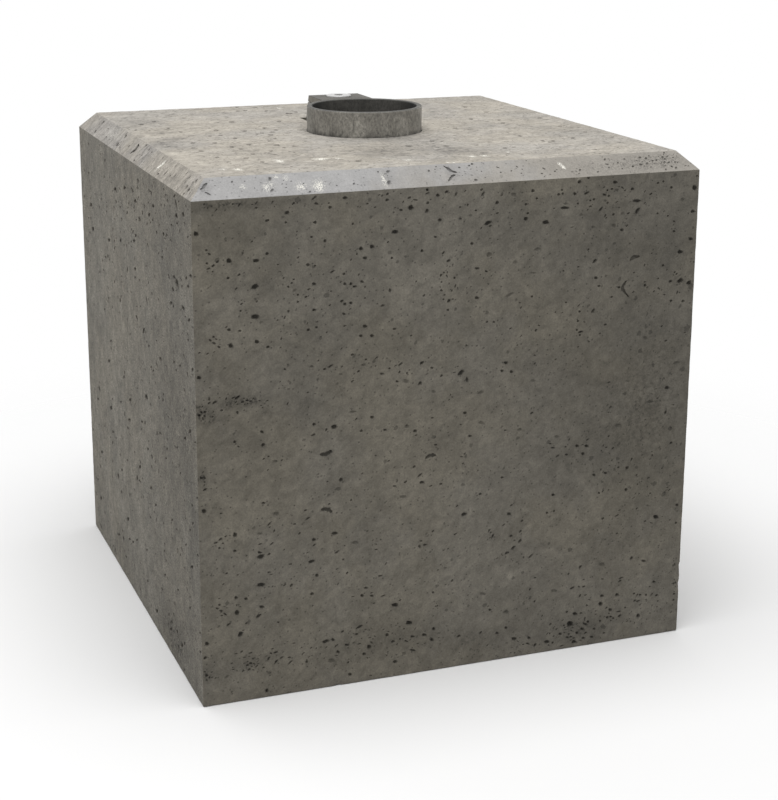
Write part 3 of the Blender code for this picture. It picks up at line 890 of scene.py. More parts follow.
def edge_line(start, end, inward):
    """The points along one outer edge, a little worn and chipped, from its first corner to its last."""
    rng = random.Random(f"edge {start} {end}")
    first = CORNERS[start] + inward * CORNER_WEAR
    last = CORNERS[end] + inward * CORNER_WEAR
    length = (CORNERS[end] - CORNERS[start]).length
    chips = chips_on(start, end)
    places = []
    place = EDGE_STEP
    while place < length - EDGE_STEP / 2:
        places.append(place)
        near_chip = any(abs(place - along * length) < size for along, size, _ in chips)
        place += CHIP_STEP if near_chip else EDGE_STEP * rng.uniform(*EDGE_UNEVEN)
    line = [first]
    for place in places:
        wear = rng.uniform(0.0, EDGE_WEAR)
        for along, size, depth in chips:
            off = abs(place - along * length) / (size / 2)
            if off < 1:
                wear += depth * (1 - off * off) * rng.uniform(*CHIP_UNEVEN)
        line.append(CORNERS[start].lerp(CORNERS[end], place / length) + inward * wear)
    line.append(last)
    return line


def outer_edges():
    """The points of every outer edge, by its two corners' names."""
    walls = {}
    for face in FACES.values():
        for start, end in round_pairs(face.keys):
            walls.setdefault(frozenset((start, end)), []).append(face)
    lines = {}
    worn = {}
    for key in CORNERS:
        touching = [face.normal for face in FACES.values() if key in face.keys]
        worn[key] = CORNERS[key] - sum(touching, Vector()).normalized() * CORNER_WEAR
    for pair, faces in sorted(walls.items(), key=lambda item: sorted(item[0])):
        start, end = sorted(pair)
        inward = -(faces[0].normal + faces[1].normal).normalized()
        line = edge_line(start, end, inward)
        line[0] = worn[start]
        line[-1] = worn[end]
        lines[(start, end)] = line
        lines[(end, start)] = line[::-1]
    return lines


def hole_loops(inner, height):
    """The closed loops in which the block's inner walls meet the level plane at a height."""
    rims = [edge for edge in inner.edges if edge.is_boundary
            and all(abs(vert.co.z - height) < ON_PLANE for vert in edge.verts)]
    beside = {}
    for edge in rims:
        first, second = edge.verts
        beside.setdefault(first, []).append(second)
        beside.setdefault(second, []).append(first)
    loops = []
    left = set(beside)
    for vert in sorted(beside, key=lambda v: v.index):
        if vert not in left:
            continue
        loop = []
        while vert is not None:
            loop.append(vert.co.copy())
            left.discard(vert)
            vert = next((other for other in beside[vert] if other in left), None)
        loops.append(loop)
    return loops


def mark_points(rng, face):
    """Closer points over the face's small stains and flecks, so that they keep their shape."""
    points = []
    for *place_and_size, _ in STAINS_AND_PAINTED_SHADE.get(face.name, []) + FLECKS.get(face.name, []):
        centre, across, up = face.seen_mark(*place_and_size)
        if min(across, up) < GRID_STEP:
            for column in range(-MARK_POINTS, MARK_POINTS + 1):
                for row in range(-MARK_POINTS, MARK_POINTS + 1):
                    off_x = (column + rng.uniform(-GRID_JITTER, GRID_JITTER)) * MARK_REACH / MARK_POINTS
                    off_y = (row + rng.uniform(-GRID_JITTER, GRID_JITTER)) * MARK_REACH / MARK_POINTS
                    points.append((centre.x + off_x * across, centre.y + off_y * up))
    return points


def soft_spot(points, centre, spread):
    """How strongly a soft round mark shows at each point, from 1 in its middle."""
    off = (points - np.array(centre)) / spread
    return np.exp(-(off ** 2).sum(axis=1))


def soft_marks(face, points, marks):
    """The sum, at each point, of soft round marks that the photograph shows on the face."""
    total = np.zeros(len(points))
    for *place_and_size, strength in marks:
        centre, across, up = face.seen_mark(*place_and_size)
        spread = (max(across, SMALLEST_SPREAD), max(up, SMALLEST_SPREAD))
        total += strength * soft_spot(points, centre, spread)
    return total


def strewn_marks(face, points):
    """The sum, at each point, of soft marks strewn over a face that the photograph doesn't show."""
    rng = random.Random(f"marks of {face.name}")
    low, high = face.box()
    total = np.zeros(len(points))
    for _ in range(STREWN_COUNT):
        centre = (rng.uniform(low.x, high.x), rng.uniform(low.y, high.y))
        spread = (rng.uniform(*STREWN_WIDTHS), rng.uniform(*STREWN_HEIGHTS))
        total += rng.choice(STREWN_STRENGTHS) * soft_spot(points, centre, spread)
    return total


def stain_and_shade_values(face, points):
    """How dark the face's stains and painted shade make it at each point."""
    if face.name in STAINS_AND_PAINTED_SHADE:
        return soft_marks(face, points, STAINS_AND_PAINTED_SHADE[face.name])
    return strewn_marks(face, points)


def fleck_values(face, points):
    """How much pale lime shows at each point."""
    return np.clip(soft_marks(face, points, FLECKS.get(face.name, [])), 0.0, 1.0)


class FaceBuilder:
    """Lays one outer face into the block's fine mesh."""

    def __init__(self, mesh, face, lines, holes):
        self.mesh = mesh
        self.face = face
        self.places = []
        self.flats = []
        self.edges = []
        self.outline = self.add_loop([point for pair in round_pairs(face.keys) for point in lines[pair][:-1]])
        self.holes = [self.add_loop(loop) for loop in holes]
        self.bed = laid_voids(face.name, self.outline, self.holes)

    def add_loop(self, loop):
        """Adds a closed loop of points in space, and gives it back in the face's plane."""
        first = len(self.places)
        flat = [self.face.flat(point) for point in loop]
        self.places += loop
        self.flats += flat
        count = len(loop)
        self.edges += [(first + number, first + (number + 1) % count) for number in range(count)]
        return [tuple(point) for point in flat]

    def build(self):
        """Lays the face's triangles between its voids, then the voids' bowls, and paints them all."""
        rims = []
        for rim in self.bed.rims:
            rims.append(len(self.places))
            self.add_loop([self.face.solid(Vector(point)) for point in rim])
        spare = self.bed.halo_points() + self.bed.grid_points(self.face)
        self.places += [self.face.solid(point) for point in spare]
        self.flats += spare
        scaled = [point / CDT_UNIT for point in self.flats]
        found = delaunay_2d_cdt(scaled, self.edges, [], CDT_TRIANGLES, CDT_GAP, True)
        triangles = self.kept_triangles(found)
        verts = [self.mesh.verts.new(place) for place in self.places]
        faces = [self.mesh.faces.new([verts[number] for number in triangle]) for triangle in triangles]
        pit = {}
        for void, rim, first in zip(self.bed.voids, self.bed.rims, rims):
            outer = verts[first:first + len(rim)]
            for vert in outer:
                pit[vert] = 0.0 if void.tiny() else RIM_DARK * void.dark
            faces += self.build_bowl(void, outer, pit)
        self.paint(faces, pit)

    def kept_triangles(self, found):
        """The triangles inside the face's outline and outside its holes and voids."""
        _, _, faces, sources, _, _ = found
        number_of = [source[0] for source in sources]
        triangles = np.array([[number_of[corner] for corner in face] for face in faces])
        middles = np.array(self.flats)[triangles].mean(axis=1)
        keep = inside(middles, self.outline) & ~self.bed.in_a_void(middles)
        for hole in self.holes:
            keep &= ~inside(middles, hole)
        return triangles[keep].tolist()

    def build_bowl(self, void, outer, pit):
        """The walls and floor of one void, from its rim down."""
        rings = DEEP_RINGS
        if void.tiny():
            rings = TINY_RINGS
        elif len(outer) <= SMALL_SIDES:
            rings = SMALL_RINGS
        faces = []
        for share, depth, dark in rings:
            inner = [self.mesh.verts.new(self.face.solid(point, void.depth * depth))
                     for point in void.ring(share)]
            for vert in inner:
                pit[vert] = dark * void.dark
            for (start, end), (low_start, low_end) in zip(round_pairs(outer), round_pairs(inner)):
                faces.append(self.mesh.faces.new([start, end, low_end, low_start]))
            outer = inner
        if isinstance(void, Crack):
            for near in range(len(outer) // 2 - 1):
                far = -1 - near
                corners = [outer[near], outer[near + 1], outer[far - 1], outer[far]]
                faces.append(self.mesh.faces.new(corners))
        else:
            middle = sum((vert.co for vert in outer), Vector()) / len(outer)
            floor = self.mesh.verts.new(middle - self.face.normal * void.depth * FLOOR_SINK)
            pit[floor] = void.dark
            for start, end in round_pairs(outer):
                faces.append(self.mesh.faces.new([start, end, floor]))
        for face in faces:
            face.smooth = True
        return faces

    def paint(self, faces, pit):
        """Writes the face's material and, at each corner, how deep in a void it is, which sets the void's
        painted shade, and how far stains and painted shade darken it.
        """
        layers = self.mesh.loops.layers.float
        verts = list({vert for face in faces for vert in face.verts})
        flats = np.array([self.face.flat(vert.co) for vert in verts])
        stain = dict(zip(verts, stain_and_shade_values(self.face, flats)))
        fleck = dict(zip(verts, fleck_values(self.face, flats)))
        wall = self.mesh.faces.layers.int["wall"]
        for face in faces:
            face[wall] = self.face.number
            face.material_index = self.face.material
            for loop in face.loops:
                loop[layers["pit"]] = pit.get(loop.vert, 0.0)
                loop[layers["stain"]] = stain[loop.vert]
                loop[layers["fleck"]] = fleck[loop.vert]


def make_block(materials):
    """The cast block: its outer faces laid anew with voids and worn edges, round the frame's inner walls."""
    mesh = bmesh.new()
    mesh.from_mesh(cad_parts["concrete_block"].data)
    bmesh.ops.remove_doubles(mesh, verts=mesh.verts, dist=MERGED)
    outer = [face for face in mesh.faces
             if any(all(abs((vert.co - wall.origin).dot(wall.normal)) < ON_PLANE for vert in face.verts)
                    for wall in FACES.values())]
    bmesh.ops.delete(mesh, geom=outer, context="FACES")
    mesh.verts.index_update()
    for name in ("pit", "stain", "fleck"):
        mesh.loops.layers.float.new(name)
    wall = mesh.faces.layers.int.new("wall")
    for face in mesh.faces:
        face[wall] = INNER_WALL
        face.material_index = SIDE
        face.smooth = False
    holes = {"top": hole_loops(mesh, TOP), "underside": hole_loops(mesh, 0.0)}
    lines = outer_edges()
    for name, face in FACES.items():
        FaceBuilder(mesh, face, lines, holes.get(name, [])).build()
    bmesh.ops.remove_doubles(mesh, verts=mesh.verts, dist=WELDED)
    wall = mesh.faces.layers.int["wall"]
    sharp = [edge for edge in mesh.edges if on_outer_edge(edge, wall)]
    bmesh.ops.bevel(mesh, geom=sharp, offset=EDGE_ROUND, segments=2, profile=0.5, affect="EDGES",
                    clamp_overlap=True)
    for vert in mesh.verts:
        vert.co = [min(max(at, low), high) for at, low, high in zip(vert.co, BLOCK_LOW, BLOCK_HIGH)]
    return finish_piece(mesh, "concrete_detail", materials, "base", "concrete", "concrete_block")


def on_outer_edge(edge, wall):
    """Whether two of the block's outer faces meet in the edge."""
    sides = {face[wall] for face in edge.link_faces}
    return len(sides) == 2 and INNER_WALL not in sides


def finish_piece(mesh, name, materials, body, slot, *nodes):
    """Turns a bmesh into a piece of the scene that rides on a body and stands for the nodes."""
    piece = new_object(name, new_mesh(name, mesh))
    for material in materials:
        piece.data.materials.append(material)
    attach(piece, body)
    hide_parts(*nodes)
    return piece


# The sockets of a mixing node that mixes colours.
MIX_SHARE = 0
MIX_FIRST = 6
MIX_SECOND = 7
MIX_RESULT = 2

# The specks' outlines: how far and how finely they sway in a cell, and how soft their edge is.
SPECK_SWAY = 0.45
SPECK_SWAY_SCALE = 3.0
SPECK_EDGE = 0.07


class Shader:
    """A small writer of node materials: each call adds one node and gives back its output."""

    def __init__(self, name, **settings):
        self.material = bpy.data.materials.new(name)
        self.material.use_nodes = True
        self.tree = self.material.node_tree
        self.surface = self.tree.nodes["Principled BSDF"]
        for socket, value in settings.items():
            self.surface.inputs[socket.replace("_", " ").title().replace("Ior", "IOR")].default_value = value
        self.place = self.tree.nodes.new("ShaderNodeTexCoord").outputs["Object"]

    def node(self, kind, inputs, output=0, **settings):
        node = self.tree.nodes.new(kind)
        for key, value in settings.items():
            setattr(node, key, value)
        for key, value in inputs.items():
            socket = node.inputs[key]
            if isinstance(value, bpy.types.NodeSocket):
                self.tree.links.new(value, socket)
            else:
                socket.default_value = value
        return node.outputs[output]

    def mapping(self, stretch=(1, 1, 1), turn=(0, 0, 0), offset=(0, 0, 0)):
        """The object's own coordinates, turned and then drawn out along their axes."""
        return self.node("ShaderNodeMapping", {"Vector": self.place, "Scale": stretch, "Location": offset,
                                               "Rotation": [math.radians(angle) for angle in turn]},
                         vector_type="TEXTURE")

    def noise(self, vector, scale, detail=3.0, roughness=0.55, distortion=0.0):
        return self.node("ShaderNodeTexNoise", {"Vector": vector, "Scale": scale, "Detail": detail,
                                                "Roughness": roughness, "Distortion": distortion})

    def dots(self, vector, scale):
        """The distance to the nearest of many strewn points."""
        return self.node("ShaderNodeTexVoronoi", {"Vector": vector, "Scale": scale})

    def specks(self, vector, scale, share, size, growth):
        """Uneven dark specks in a share of a net's cells: 1 in their middle and 0 outside."""
        finer = {"Vector": vector, "Scale": scale * SPECK_SWAY_SCALE, "Detail": 2.0}
        sway = self.scaled(self.node("ShaderNodeTexNoise", finer, output="Color"), SPECK_SWAY / scale)
        distance = self.dots(self.node("ShaderNodeVectorMath", {0: vector, 1: sway}, operation="ADD"), scale)
        chance = self.node("ShaderNodeSeparateColor", {0: distance.node.outputs["Color"]})
        radius = self.product(self.spread(chance, 1 - share, 1.0, 0.0, size), growth)
        return self.spread(self.math("SUBTRACT", radius, distance), 0.0, SPECK_EDGE, smooth=True)

    def spread(self, value, low, high, to_low=0.0, to_high=1.0, smooth=False):
        """The value's range from low to high, laid over another range and held there."""
        return self.node("ShaderNodeMapRange", {"Value": value, "From Min": low, "From Max": high,
                                                "To Min": to_low, "To Max": to_high},
                         interpolation_type="SMOOTHSTEP" if smooth else "LINEAR")

    def vary(self, value, low, high, amount):
        """A factor that runs from an amount below 1 to as much above it, as the value rises."""
        return self.spread(value, low, high, 1 - amount, 1 + amount)

    def math(self, operation, first, second=0.0):
        return self.node("ShaderNodeMath", {0: first, 1: second}, operation=operation)

    def less(self, value):
        """What the value leaves of 1."""
        return self.math("SUBTRACT", 1.0, value)

    def length(self, vector):
        return self.node("ShaderNodeVectorMath", {0: vector}, output="Value", operation="LENGTH")

    def axis(self, number):
        """One of the object's own coordinates: 0 for X, 1 for Y and 2 for Z."""
        return self.node("ShaderNodeSeparateXYZ", {0: self.place}, output=number)

    def product(self, *values):
        total = values[0]
        for value in values[1:]:
            total = self.math("MULTIPLY", total, value)
        return total

    def mix_colour(self, share, first, second):
        """A colour between two, by a share."""
        inputs = {MIX_SHARE: share, MIX_FIRST: first, MIX_SECOND: second}
        return self.node("ShaderNodeMix", inputs, output=MIX_RESULT, data_type="RGBA")

    def scaled(self, colour, factor):
        """A colour made darker or paler by a factor."""
        return self.node("ShaderNodeVectorMath", {0: colour, "Scale": factor}, operation="SCALE")

    def attribute(self, name):
        return self.node("ShaderNodeAttribute", {}, output="Fac", attribute_name=name)

    def bump(self, height, distance):
        return self.node("ShaderNodeBump", {"Height": height, "Distance": distance, "Strength": 1.0})

    def finish(self, colour, roughness=None, normal=None):
        self.tree.links.new(colour, self.surface.inputs["Base Color"])
        if roughness is not None:
            self.tree.links.new(roughness, self.surface.inputs["Roughness"])
        if normal is not None:
            self.tree.links.new(normal, self.surface.inputs["Normal"])
        return self.material


def tone(red, green, blue):
    return (red, green, blue, 1.0)


# The concrete's noises, from broad patches to the crumbs of the lime: their scales.
PATCH_SCALE = 16.0
GROWTH_SCALE = 24.0
BROAD_SCALE = 40.0
BLOT_SCALE = 130.0
SPECK_SCALE = 210.0
STREAK_SCALE = 260.0
PINHOLE_SCALE = 330.0
GRAIN_SCALE = 900.0
CRUMB_SCALE = 1600.0

# The concrete's shades: how dark stains, with the painted shade among them, dense stains and specks make it,
# and where each sets in.
CONCRETE_ROUGHNESS = 0.9
STAIN_AND_SHADE_STRENGTH = 0.46
DENSE_SHADE = 0.62
TONE_WANDER = 0.05
PIN_EDGE = (0.06, 0.22)
BLOTCH_EDGE = (0.47, 0.57)
SPECK_SHARE = 0.6
SPECK_SIZE = 0.30
CRUMB_GAIN = 0.17
CRUMB_EDGE = (0.60, 0.63)
FLECK_TONE = tone(0.76, 0.74, 0.67)
CONCRETE_RELIEF = 0.00018


@dataclass
class Cast:
    """The look of one kind of cast face: its tones, made paler or darker by painted light and shade, its
    streaks' run and how strong each part is.
    """
    warm: tuple
    cool: tuple
    turn: tuple = (0, 0, 0)
    stretch: tuple = (1, 1, 1)
    mottle: float = 0.10
    blot: float = 0.08
    streak: float = 0.09
    grain: float = 0.08
    pinhole: float = 0.5
    speck: float = 0.42
    pin_size: float = 1.0
    cool_from: tuple = None
    blotch_scale: float = 380.0
    pit_painted_shade: float = 0.74
    dense_from: float = 0.42
    dense_full: float = 0.75


def concrete(name, cast):
    """Cast concrete: two tones in soft patches, streaks, grain, pinholes, stains with some broad painted
    shade, flecks, and voids darkened by painted shade.
    """
    shader = Shader(name, roughness=CONCRETE_ROUGHNESS)
    streaked = shader.mapping(stretch=cast.stretch, turn=cast.turn)
    pinned = shader.mapping(stretch=[value ** 0.5 for value in cast.stretch], turn=cast.turn)
    patches = shader.noise(shader.place, PATCH_SCALE, detail=4.0, roughness=0.6)
    broad = shader.noise(streaked, BROAD_SCALE, detail=5.0, roughness=0.62, distortion=0.9)
    blots = shader.noise(shader.place, BLOT_SCALE, detail=4.0, roughness=0.62, distortion=0.8)
    streaks = shader.noise(streaked, STREAK_SCALE, detail=4.0, roughness=0.62, distortion=0.5)
    grain = shader.noise(shader.place, GRAIN_SCALE, detail=3.0, roughness=0.75)
    pinholes = shader.dots(pinned, PINHOLE_SCALE)
    stain = shader.attribute("stain")
    fleck = shader.attribute("fleck")

    share = shader.spread(patches, 0.38, 0.62, smooth=True)
    if cast.cool_from is not None:
        sway = shader.spread(patches, 0.3, 0.7, -TONE_WANDER, TONE_WANDER)
        wander = shader.math("ADD", shader.axis(0), sway)
        share = shader.spread(wander, *cast.cool_from, 1.0, 0.0, smooth=True)
    colour = shader.mix_colour(share, cast.warm, cast.cool)

    pin_from, pin_to = (edge * cast.pin_size for edge in PIN_EDGE)
    shades = [
        shader.vary(broad, 0.32, 0.68, cast.mottle),
        shader.vary(blots, 0.3, 0.7, cast.blot),
        shader.vary(streaks, 0.3, 0.7, cast.streak),
        shader.vary(grain, 0.28, 0.72, cast.grain),
        shader.spread(pinholes, pin_from, pin_to, 1 - cast.pinhole, 1.0, smooth=True),
    ]
    patchy = shader.noise(shader.place, GROWTH_SCALE, detail=2.0)
    growth = shader.math("ADD", shader.spread(patchy, 0.40, 0.62, 0.35, 1.1),
                         shader.spread(stain, 0.1, 0.6, 0.0, 0.4))
    speck = shader.specks(pinned, SPECK_SCALE, SPECK_SHARE, SPECK_SIZE, growth)
    shades.append(shader.less(shader.product(speck, cast.speck)))

    # Broad stains, among them painted shade over the front face's right part, and dense stains in blotches.
    paler = 1 + STAIN_AND_SHADE_STRENGTH
    darker = 1 - STAIN_AND_SHADE_STRENGTH * cast.dense_from
    broad_stain_and_shade = shader.spread(stain, -1.0, cast.dense_from, paler, darker)
    dense = shader.spread(stain, cast.dense_from, cast.dense_full, 0.0, DENSE_SHADE)
    blotches = shader.noise(shader.place, cast.blotch_scale, detail=4.0, roughness=0.7)
    blotch = shader.spread(blotches, *BLOTCH_EDGE)
    shades.append(shader.product(broad_stain_and_shade, shader.less(shader.product(dense, blotch))))
    colour = shader.scaled(colour, shader.product(*shades))

    crumbs = shader.noise(shader.place, CRUMB_SCALE, detail=1.5, roughness=0.6)
    crumbs = shader.math("ADD", crumbs, shader.product(fleck, CRUMB_GAIN))
    speckle = shader.product(shader.spread(crumbs, *CRUMB_EDGE, smooth=True), shader.spread(fleck, 0.1, 0.85))
    colour = shader.mix_colour(speckle, colour, FLECK_TONE)
    # Painted shade in the voids and cracks, darkest at their floor.
    colour = shader.scaled(colour, shader.less(shader.product(shader.attribute("pit"), cast.pit_painted_shade)))

    relief = shader.math("ADD", shader.spread(streaks, 0.2, 0.8, 0.0, 0.35),
                         shader.spread(grain, 0.2, 0.8, 0.0, 0.5))
    relief = shader.math("ADD", relief, shader.spread(pinholes, 0.06, 0.16, -0.8, 0.0, smooth=True))
    return shader.finish(colour, normal=shader.bump(relief, CONCRETE_RELIEF))


# The steel's fine streaks and freckles, its relief and the range of its roughness.
FINE_STREAKS = 9
FRECKLE_SCALE = 420.0
FRECKLE_EDGE = (0.07, 0.16)
FRECKLE_SHADE = 0.6
STEEL_RELIEF = 0.00012
SMOOTHER = 0.08
ROUGHER = 0.1

# Painted shade inside the socket's bore, with painted light on one side of it, and painted shade on the top
# faces at the rim.
BORE_PAINTED_SHADE = 0.24
BORE_FRONT_PAINTED_SHADE = 0.06
BORE_PAINTED_LIGHT_LEVEL = 1.1
BORE_PAINTED_LIGHT_WAY = (0.34, 0.94, 0.0)
BORE_FADE = (0.010, 0.026)
BORE_EDGE = 0.0006
RIM_FROM = 0.0004
RIM_TO = 0.0002

# The painted shade along the collar's ragged foot, where it meets the concrete, and the painted shade on the
# collar's left and right sides.
FOOT_RAGGED = 0.002
COLLAR_FOOT_PAINTED_SHADE = (TOP - 0.001, TOP + 0.0032, 0.45)
MARK_EDGE = (0.3, 1.1)
COLLAR_WEST = (-0.034, -0.018)
COLLAR_EAST = (0.031, 0.035)
COLLAR_SIDE_PAINTED_SHADE = 0.80


def bore_painted_shade(shader):
    """Painted shade inside the socket, deepest towards its front, with painted light on its far wall."""
    level = shader.node("ShaderNodeVectorMath", {0: shader.place, 1: (1, 1, 0)}, operation="MULTIPLY")
    brighter = shader.node("ShaderNodeVectorMath", {0: shader.place, 1: BORE_PAINTED_LIGHT_WAY}, output="Value",
                           operation="DOT_PRODUCT")
    bright = shader.spread(brighter, *BORE_FADE, BORE_FRONT_PAINTED_SHADE, BORE_PAINTED_LIGHT_LEVEL, smooth=True)
    wall = shader.spread(shader.length(level), BORE_RADIUS, BORE_RADIUS + BORE_EDGE)
    inner = shader.product(bright, BORE_PAINTED_SHADE)
    return shader.node("ShaderNodeMapRange", {"Value": wall, "To Min": inner})


def collar_marks_and_painted_sides(shader, marks):
    """The marks on the collar, and painted shade towards its left and right sides."""
    shades = []
    for x, y, half_width, half_height, shade in marks:
        width = half_width * PIXEL_ON_COLLAR
        size = (width, width, half_height * PIXEL_ON_COLLAR)
        off = shader.length(shader.mapping(stretch=size, offset=seen_on_collar(x, y)))
        shades.append(shader.spread(off, *MARK_EDGE, shade, 1.0, smooth=True))
    # Painted shade towards the collar's left and right sides.
    east = shader.axis(0)
    shades.append(shader.spread(east, *COLLAR_WEST, COLLAR_SIDE_PAINTED_SHADE, 1.0, smooth=True))
    shades.append(shader.spread(east, *COLLAR_EAST, 1.0, COLLAR_SIDE_PAINTED_SHADE, smooth=True))
    return shades


def steel(name, colour, dark, metallic, roughness, scale=60.0, stretch=(1, 1, 2.5), wear=0.25, foot=None,
          bore=False, top_painted_shade=None, marks=()):
    """Weathered steel: a dull mottled skin with streaks and freckles, and where it is asked for, painted
    shade at its foot, in its bore, on its top faces and on the collar's sides, and painted light on the
    bore's far wall.
    """
    shader = Shader(name, metallic=metallic)
    skin = shader.mapping(stretch=stretch)
    mottle = shader.noise(skin, scale, detail=6.0, roughness=0.65, distortion=0.5)
    fine = shader.noise(skin, scale * FINE_STREAKS, detail=4.0, roughness=0.7)
    freckles = shader.dots(shader.mapping(offset=(2, 1, 4)), FRECKLE_SCALE)
    mixed = shader.mix_colour(shader.spread(mottle, 0.34, 0.66, smooth=True), dark, colour)
    height = shader.axis(2)
    shades = [
        shader.vary(fine, 0.25, 0.75, wear),
        shader.spread(freckles, *FRECKLE_EDGE, FRECKLE_SHADE, 1.0, smooth=True),
    ]
    # Painted shade along the collar's foot, where it meets the concrete, with a ragged upper edge.
    if foot is not None:
        low, high, shade = foot
        ragged = shader.math("ADD", height, shader.spread(mottle, 0.3, 0.7, -FOOT_RAGGED, FOOT_RAGGED))
        shades.append(shader.spread(ragged, low, high, shade, 1.0, smooth=True))
    # Painted shade in the bore, and painted light on its far wall.
    if bore:
        shades.append(bore_painted_shade(shader))
    # Painted shade that darkens the top faces at the rim's height against the light from above.
    if top_painted_shade is not None:
        shades.append(shader.spread(height, RIM - RIM_FROM, RIM - RIM_TO, 1.0, top_painted_shade))
    if marks:
        shades += collar_marks_and_painted_sides(shader, marks)
    rough = shader.spread(fine, 0.3, 0.7, roughness - SMOOTHER, roughness + ROUGHER)
    relief = shader.math("ADD", mottle, shader.product(fine, 0.5))
    return shader.finish(shader.scaled(mixed, shader.product(*shades)), roughness=rough,
                         normal=shader.bump(relief, STEEL_RELIEF))


def make_materials():
    """The looks of the cast faces and of the steel pieces, by node. The cast faces are lit and shaded copies
    of one concrete, with painted light on the top and slopes and painted shade on the front and back.
    """
    # Painted light and shade: one concrete in a pale tone on the top and slopes, a darker one on the left and
    # right faces and the darkest on the front and back.
    casts = {
        "cast_side": Cast(
            warm=tone(0.192, 0.175, 0.140), cool=tone(0.184, 0.170, 0.141), turn=(0, -42, 0),
            stretch=(1.5, 1, 1), mottle=0.16, blot=0.15, streak=0.16, grain=0.22),
        "cast_flank": Cast(
            warm=tone(0.226, 0.208, 0.172), cool=tone(0.216, 0.202, 0.171), stretch=(1.1, 1, 1.3),
            mottle=0.17, blot=0.20, streak=0.21, grain=0.70, speck=0.6, pit_painted_shade=0.66),
        "cast_top": Cast(
            warm=tone(0.303, 0.278, 0.238), cool=tone(0.286, 0.268, 0.240), turn=(0, 0, 4),
            stretch=(1.4, 1, 1), mottle=0.14, blot=0.19, streak=0.19, grain=0.20, pinhole=0.6,
            pin_size=1.3, speck=0.55),
        "cast_slope": Cast(
            warm=tone(0.302, 0.282, 0.251), cool=tone(0.328, 0.323, 0.319), cool_from=(-0.05, 0.04),
            mottle=0.06, blot=0.05, streak=0.05, grain=0.12, pinhole=0.3, speck=0.18, blotch_scale=950.0,
            pit_painted_shade=0.62, dense_from=0.18, dense_full=0.80),
        "cast_flank_slope": Cast(
            warm=tone(0.280, 0.258, 0.223), cool=tone(0.270, 0.254, 0.233), turn=(0, -45, 0),
            stretch=(2.2, 1, 1), mottle=0.12, blot=0.10, streak=0.30, grain=0.34,
            blotch_scale=950.0, pit_painted_shade=0.8),
    }
    return {
        "concrete": [concrete(name, cast) for name, cast in casts.items()],
        "socket_tube": steel("tube_steel", tone(0.300, 0.286, 0.254), tone(0.195, 0.185, 0.162),
                             metallic=0.15, roughness=0.62, scale=90.0, stretch=(1, 1, 1.7), wear=0.62,
                             foot=COLLAR_FOOT_PAINTED_SHADE, bore=True, top_painted_shade=0.26, marks=COLLAR_MARKS),
        "anchor_bar": steel("bar_steel", tone(0.20, 0.185, 0.165), tone(0.14, 0.12, 0.10), metallic=0.4,
                            roughness=0.55),
        "lock_case": steel("case_steel", tone(0.25, 0.24, 0.215), tone(0.19, 0.182, 0.163), metallic=0.2,
                           roughness=0.6),
        "lock_lid": steel("lid_steel", tone(0.235, 0.220, 0.192), tone(0.170, 0.160, 0.138), metallic=0.1,
                          roughness=0.7, wear=0.2, top_painted_shade=0.34),
        "lock_floor": steel("floor_steel", tone(0.12, 0.115, 0.107), tone(0.09, 0.086, 0.080), metallic=0.2,
                            roughness=0.6),
        "lock_wedge": steel("wedge_iron", tone(0.14, 0.135, 0.13), tone(0.10, 0.095, 0.09), metallic=0.5,
                            roughness=0.55),
        "lock_nut": steel("nut_steel", tone(0.55, 0.55, 0.54), tone(0.45, 0.45, 0.44), metallic=0.9,
                          roughness=0.35, wear=0.08),
        # Painted shade: a darker steel for the walls of the screw's hexagon socket.
        "lock_socket": steel("socket_steel", tone(0.26, 0.257, 0.25), tone(0.20, 0.198, 0.19), metallic=0.3,
                             roughness=0.6),
        "lock_screw": steel("screw_steel", tone(0.52, 0.515, 0.51), tone(0.46, 0.455, 0.45), metallic=0.5,
                            roughness=0.4, wear=0.05),
    }


# The angles between faces that lie in one plane, that are shaded sharp and that are rounded.
FLAT_ANGLE = math.radians(0.5)
SHARP_ANGLE = math.radians(30)
ROUNDED_ANGLE = math.radians(40)
SCREW_SHARP_ANGLE = math.radians(35)

# The steel pieces: the node that each stands for, the radius of its edges, its body, its slot and its name.
STEEL_PIECES = [
    ("socket_tube", 0.00018, "base", "tube_steel", "tube_detail"),
    ("lock_lid", 0.00018, "base", "case_steel", "lid_detail"),
    ("lock_case", 0.0003, "base", "case_steel", "case_detail"),
    ("lock_floor", 0.0003, "base", "case_steel", "floor_detail"),
    ("anchor_bar", 0.0004, "base", "tube_steel", "bar_detail"),
    ("lock_wedge", 0.0005, "wedge", "wedge_iron", "wedge_detail"),
    ("lock_nut", 0.0003, "nut", "nut_steel", "nut_detail"),
]


def refined(node, material, radius, body, slot, name):
    """A copy of a steel node with merged corners, rounded edges and smooth walls, which stands for it."""
    mesh = bmesh.new()
    mesh.from_mesh(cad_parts[node].data)
    bmesh.ops.remove_doubles(mesh, verts=mesh.verts, dist=MERGED)
    bmesh.ops.dissolve_limit(mesh, angle_limit=FLAT_ANGLE, verts=mesh.verts, edges=mesh.edges)
    piece = finish_piece(mesh, name, [material], body, slot, node)
    piece.data.shade_smooth()
    piece.data.set_sharp_from_angle(angle=SHARP_ANGLE)
    rounding = piece.modifiers.new("rounding", "BEVEL")
    rounding.width = radius
    rounding.segments = 2
    rounding.limit_method = "ANGLE"
    rounding.angle_limit = ROUNDED_ANGLE
    rounding.harden_normals = True
    return piece


# The screw, in metres: its sides, its head's rounded rim, its hexagon socket and its tip.
SCREW_SIDES = 48
ON_SHANK = 2e-5
HEAD_ROUND = 0.0003
HEAD_ROUND_STEPS = 6
HEXAGON_WIDTH = 0.005
HEXAGON_DEPTH = 0.0032
HEXAGON_DIMPLE = 0.0006
HEXAGON_EDGE = 0.00008
HEXAGON_ROOM = 0.00005
TIP_CHAMFER = 0.001

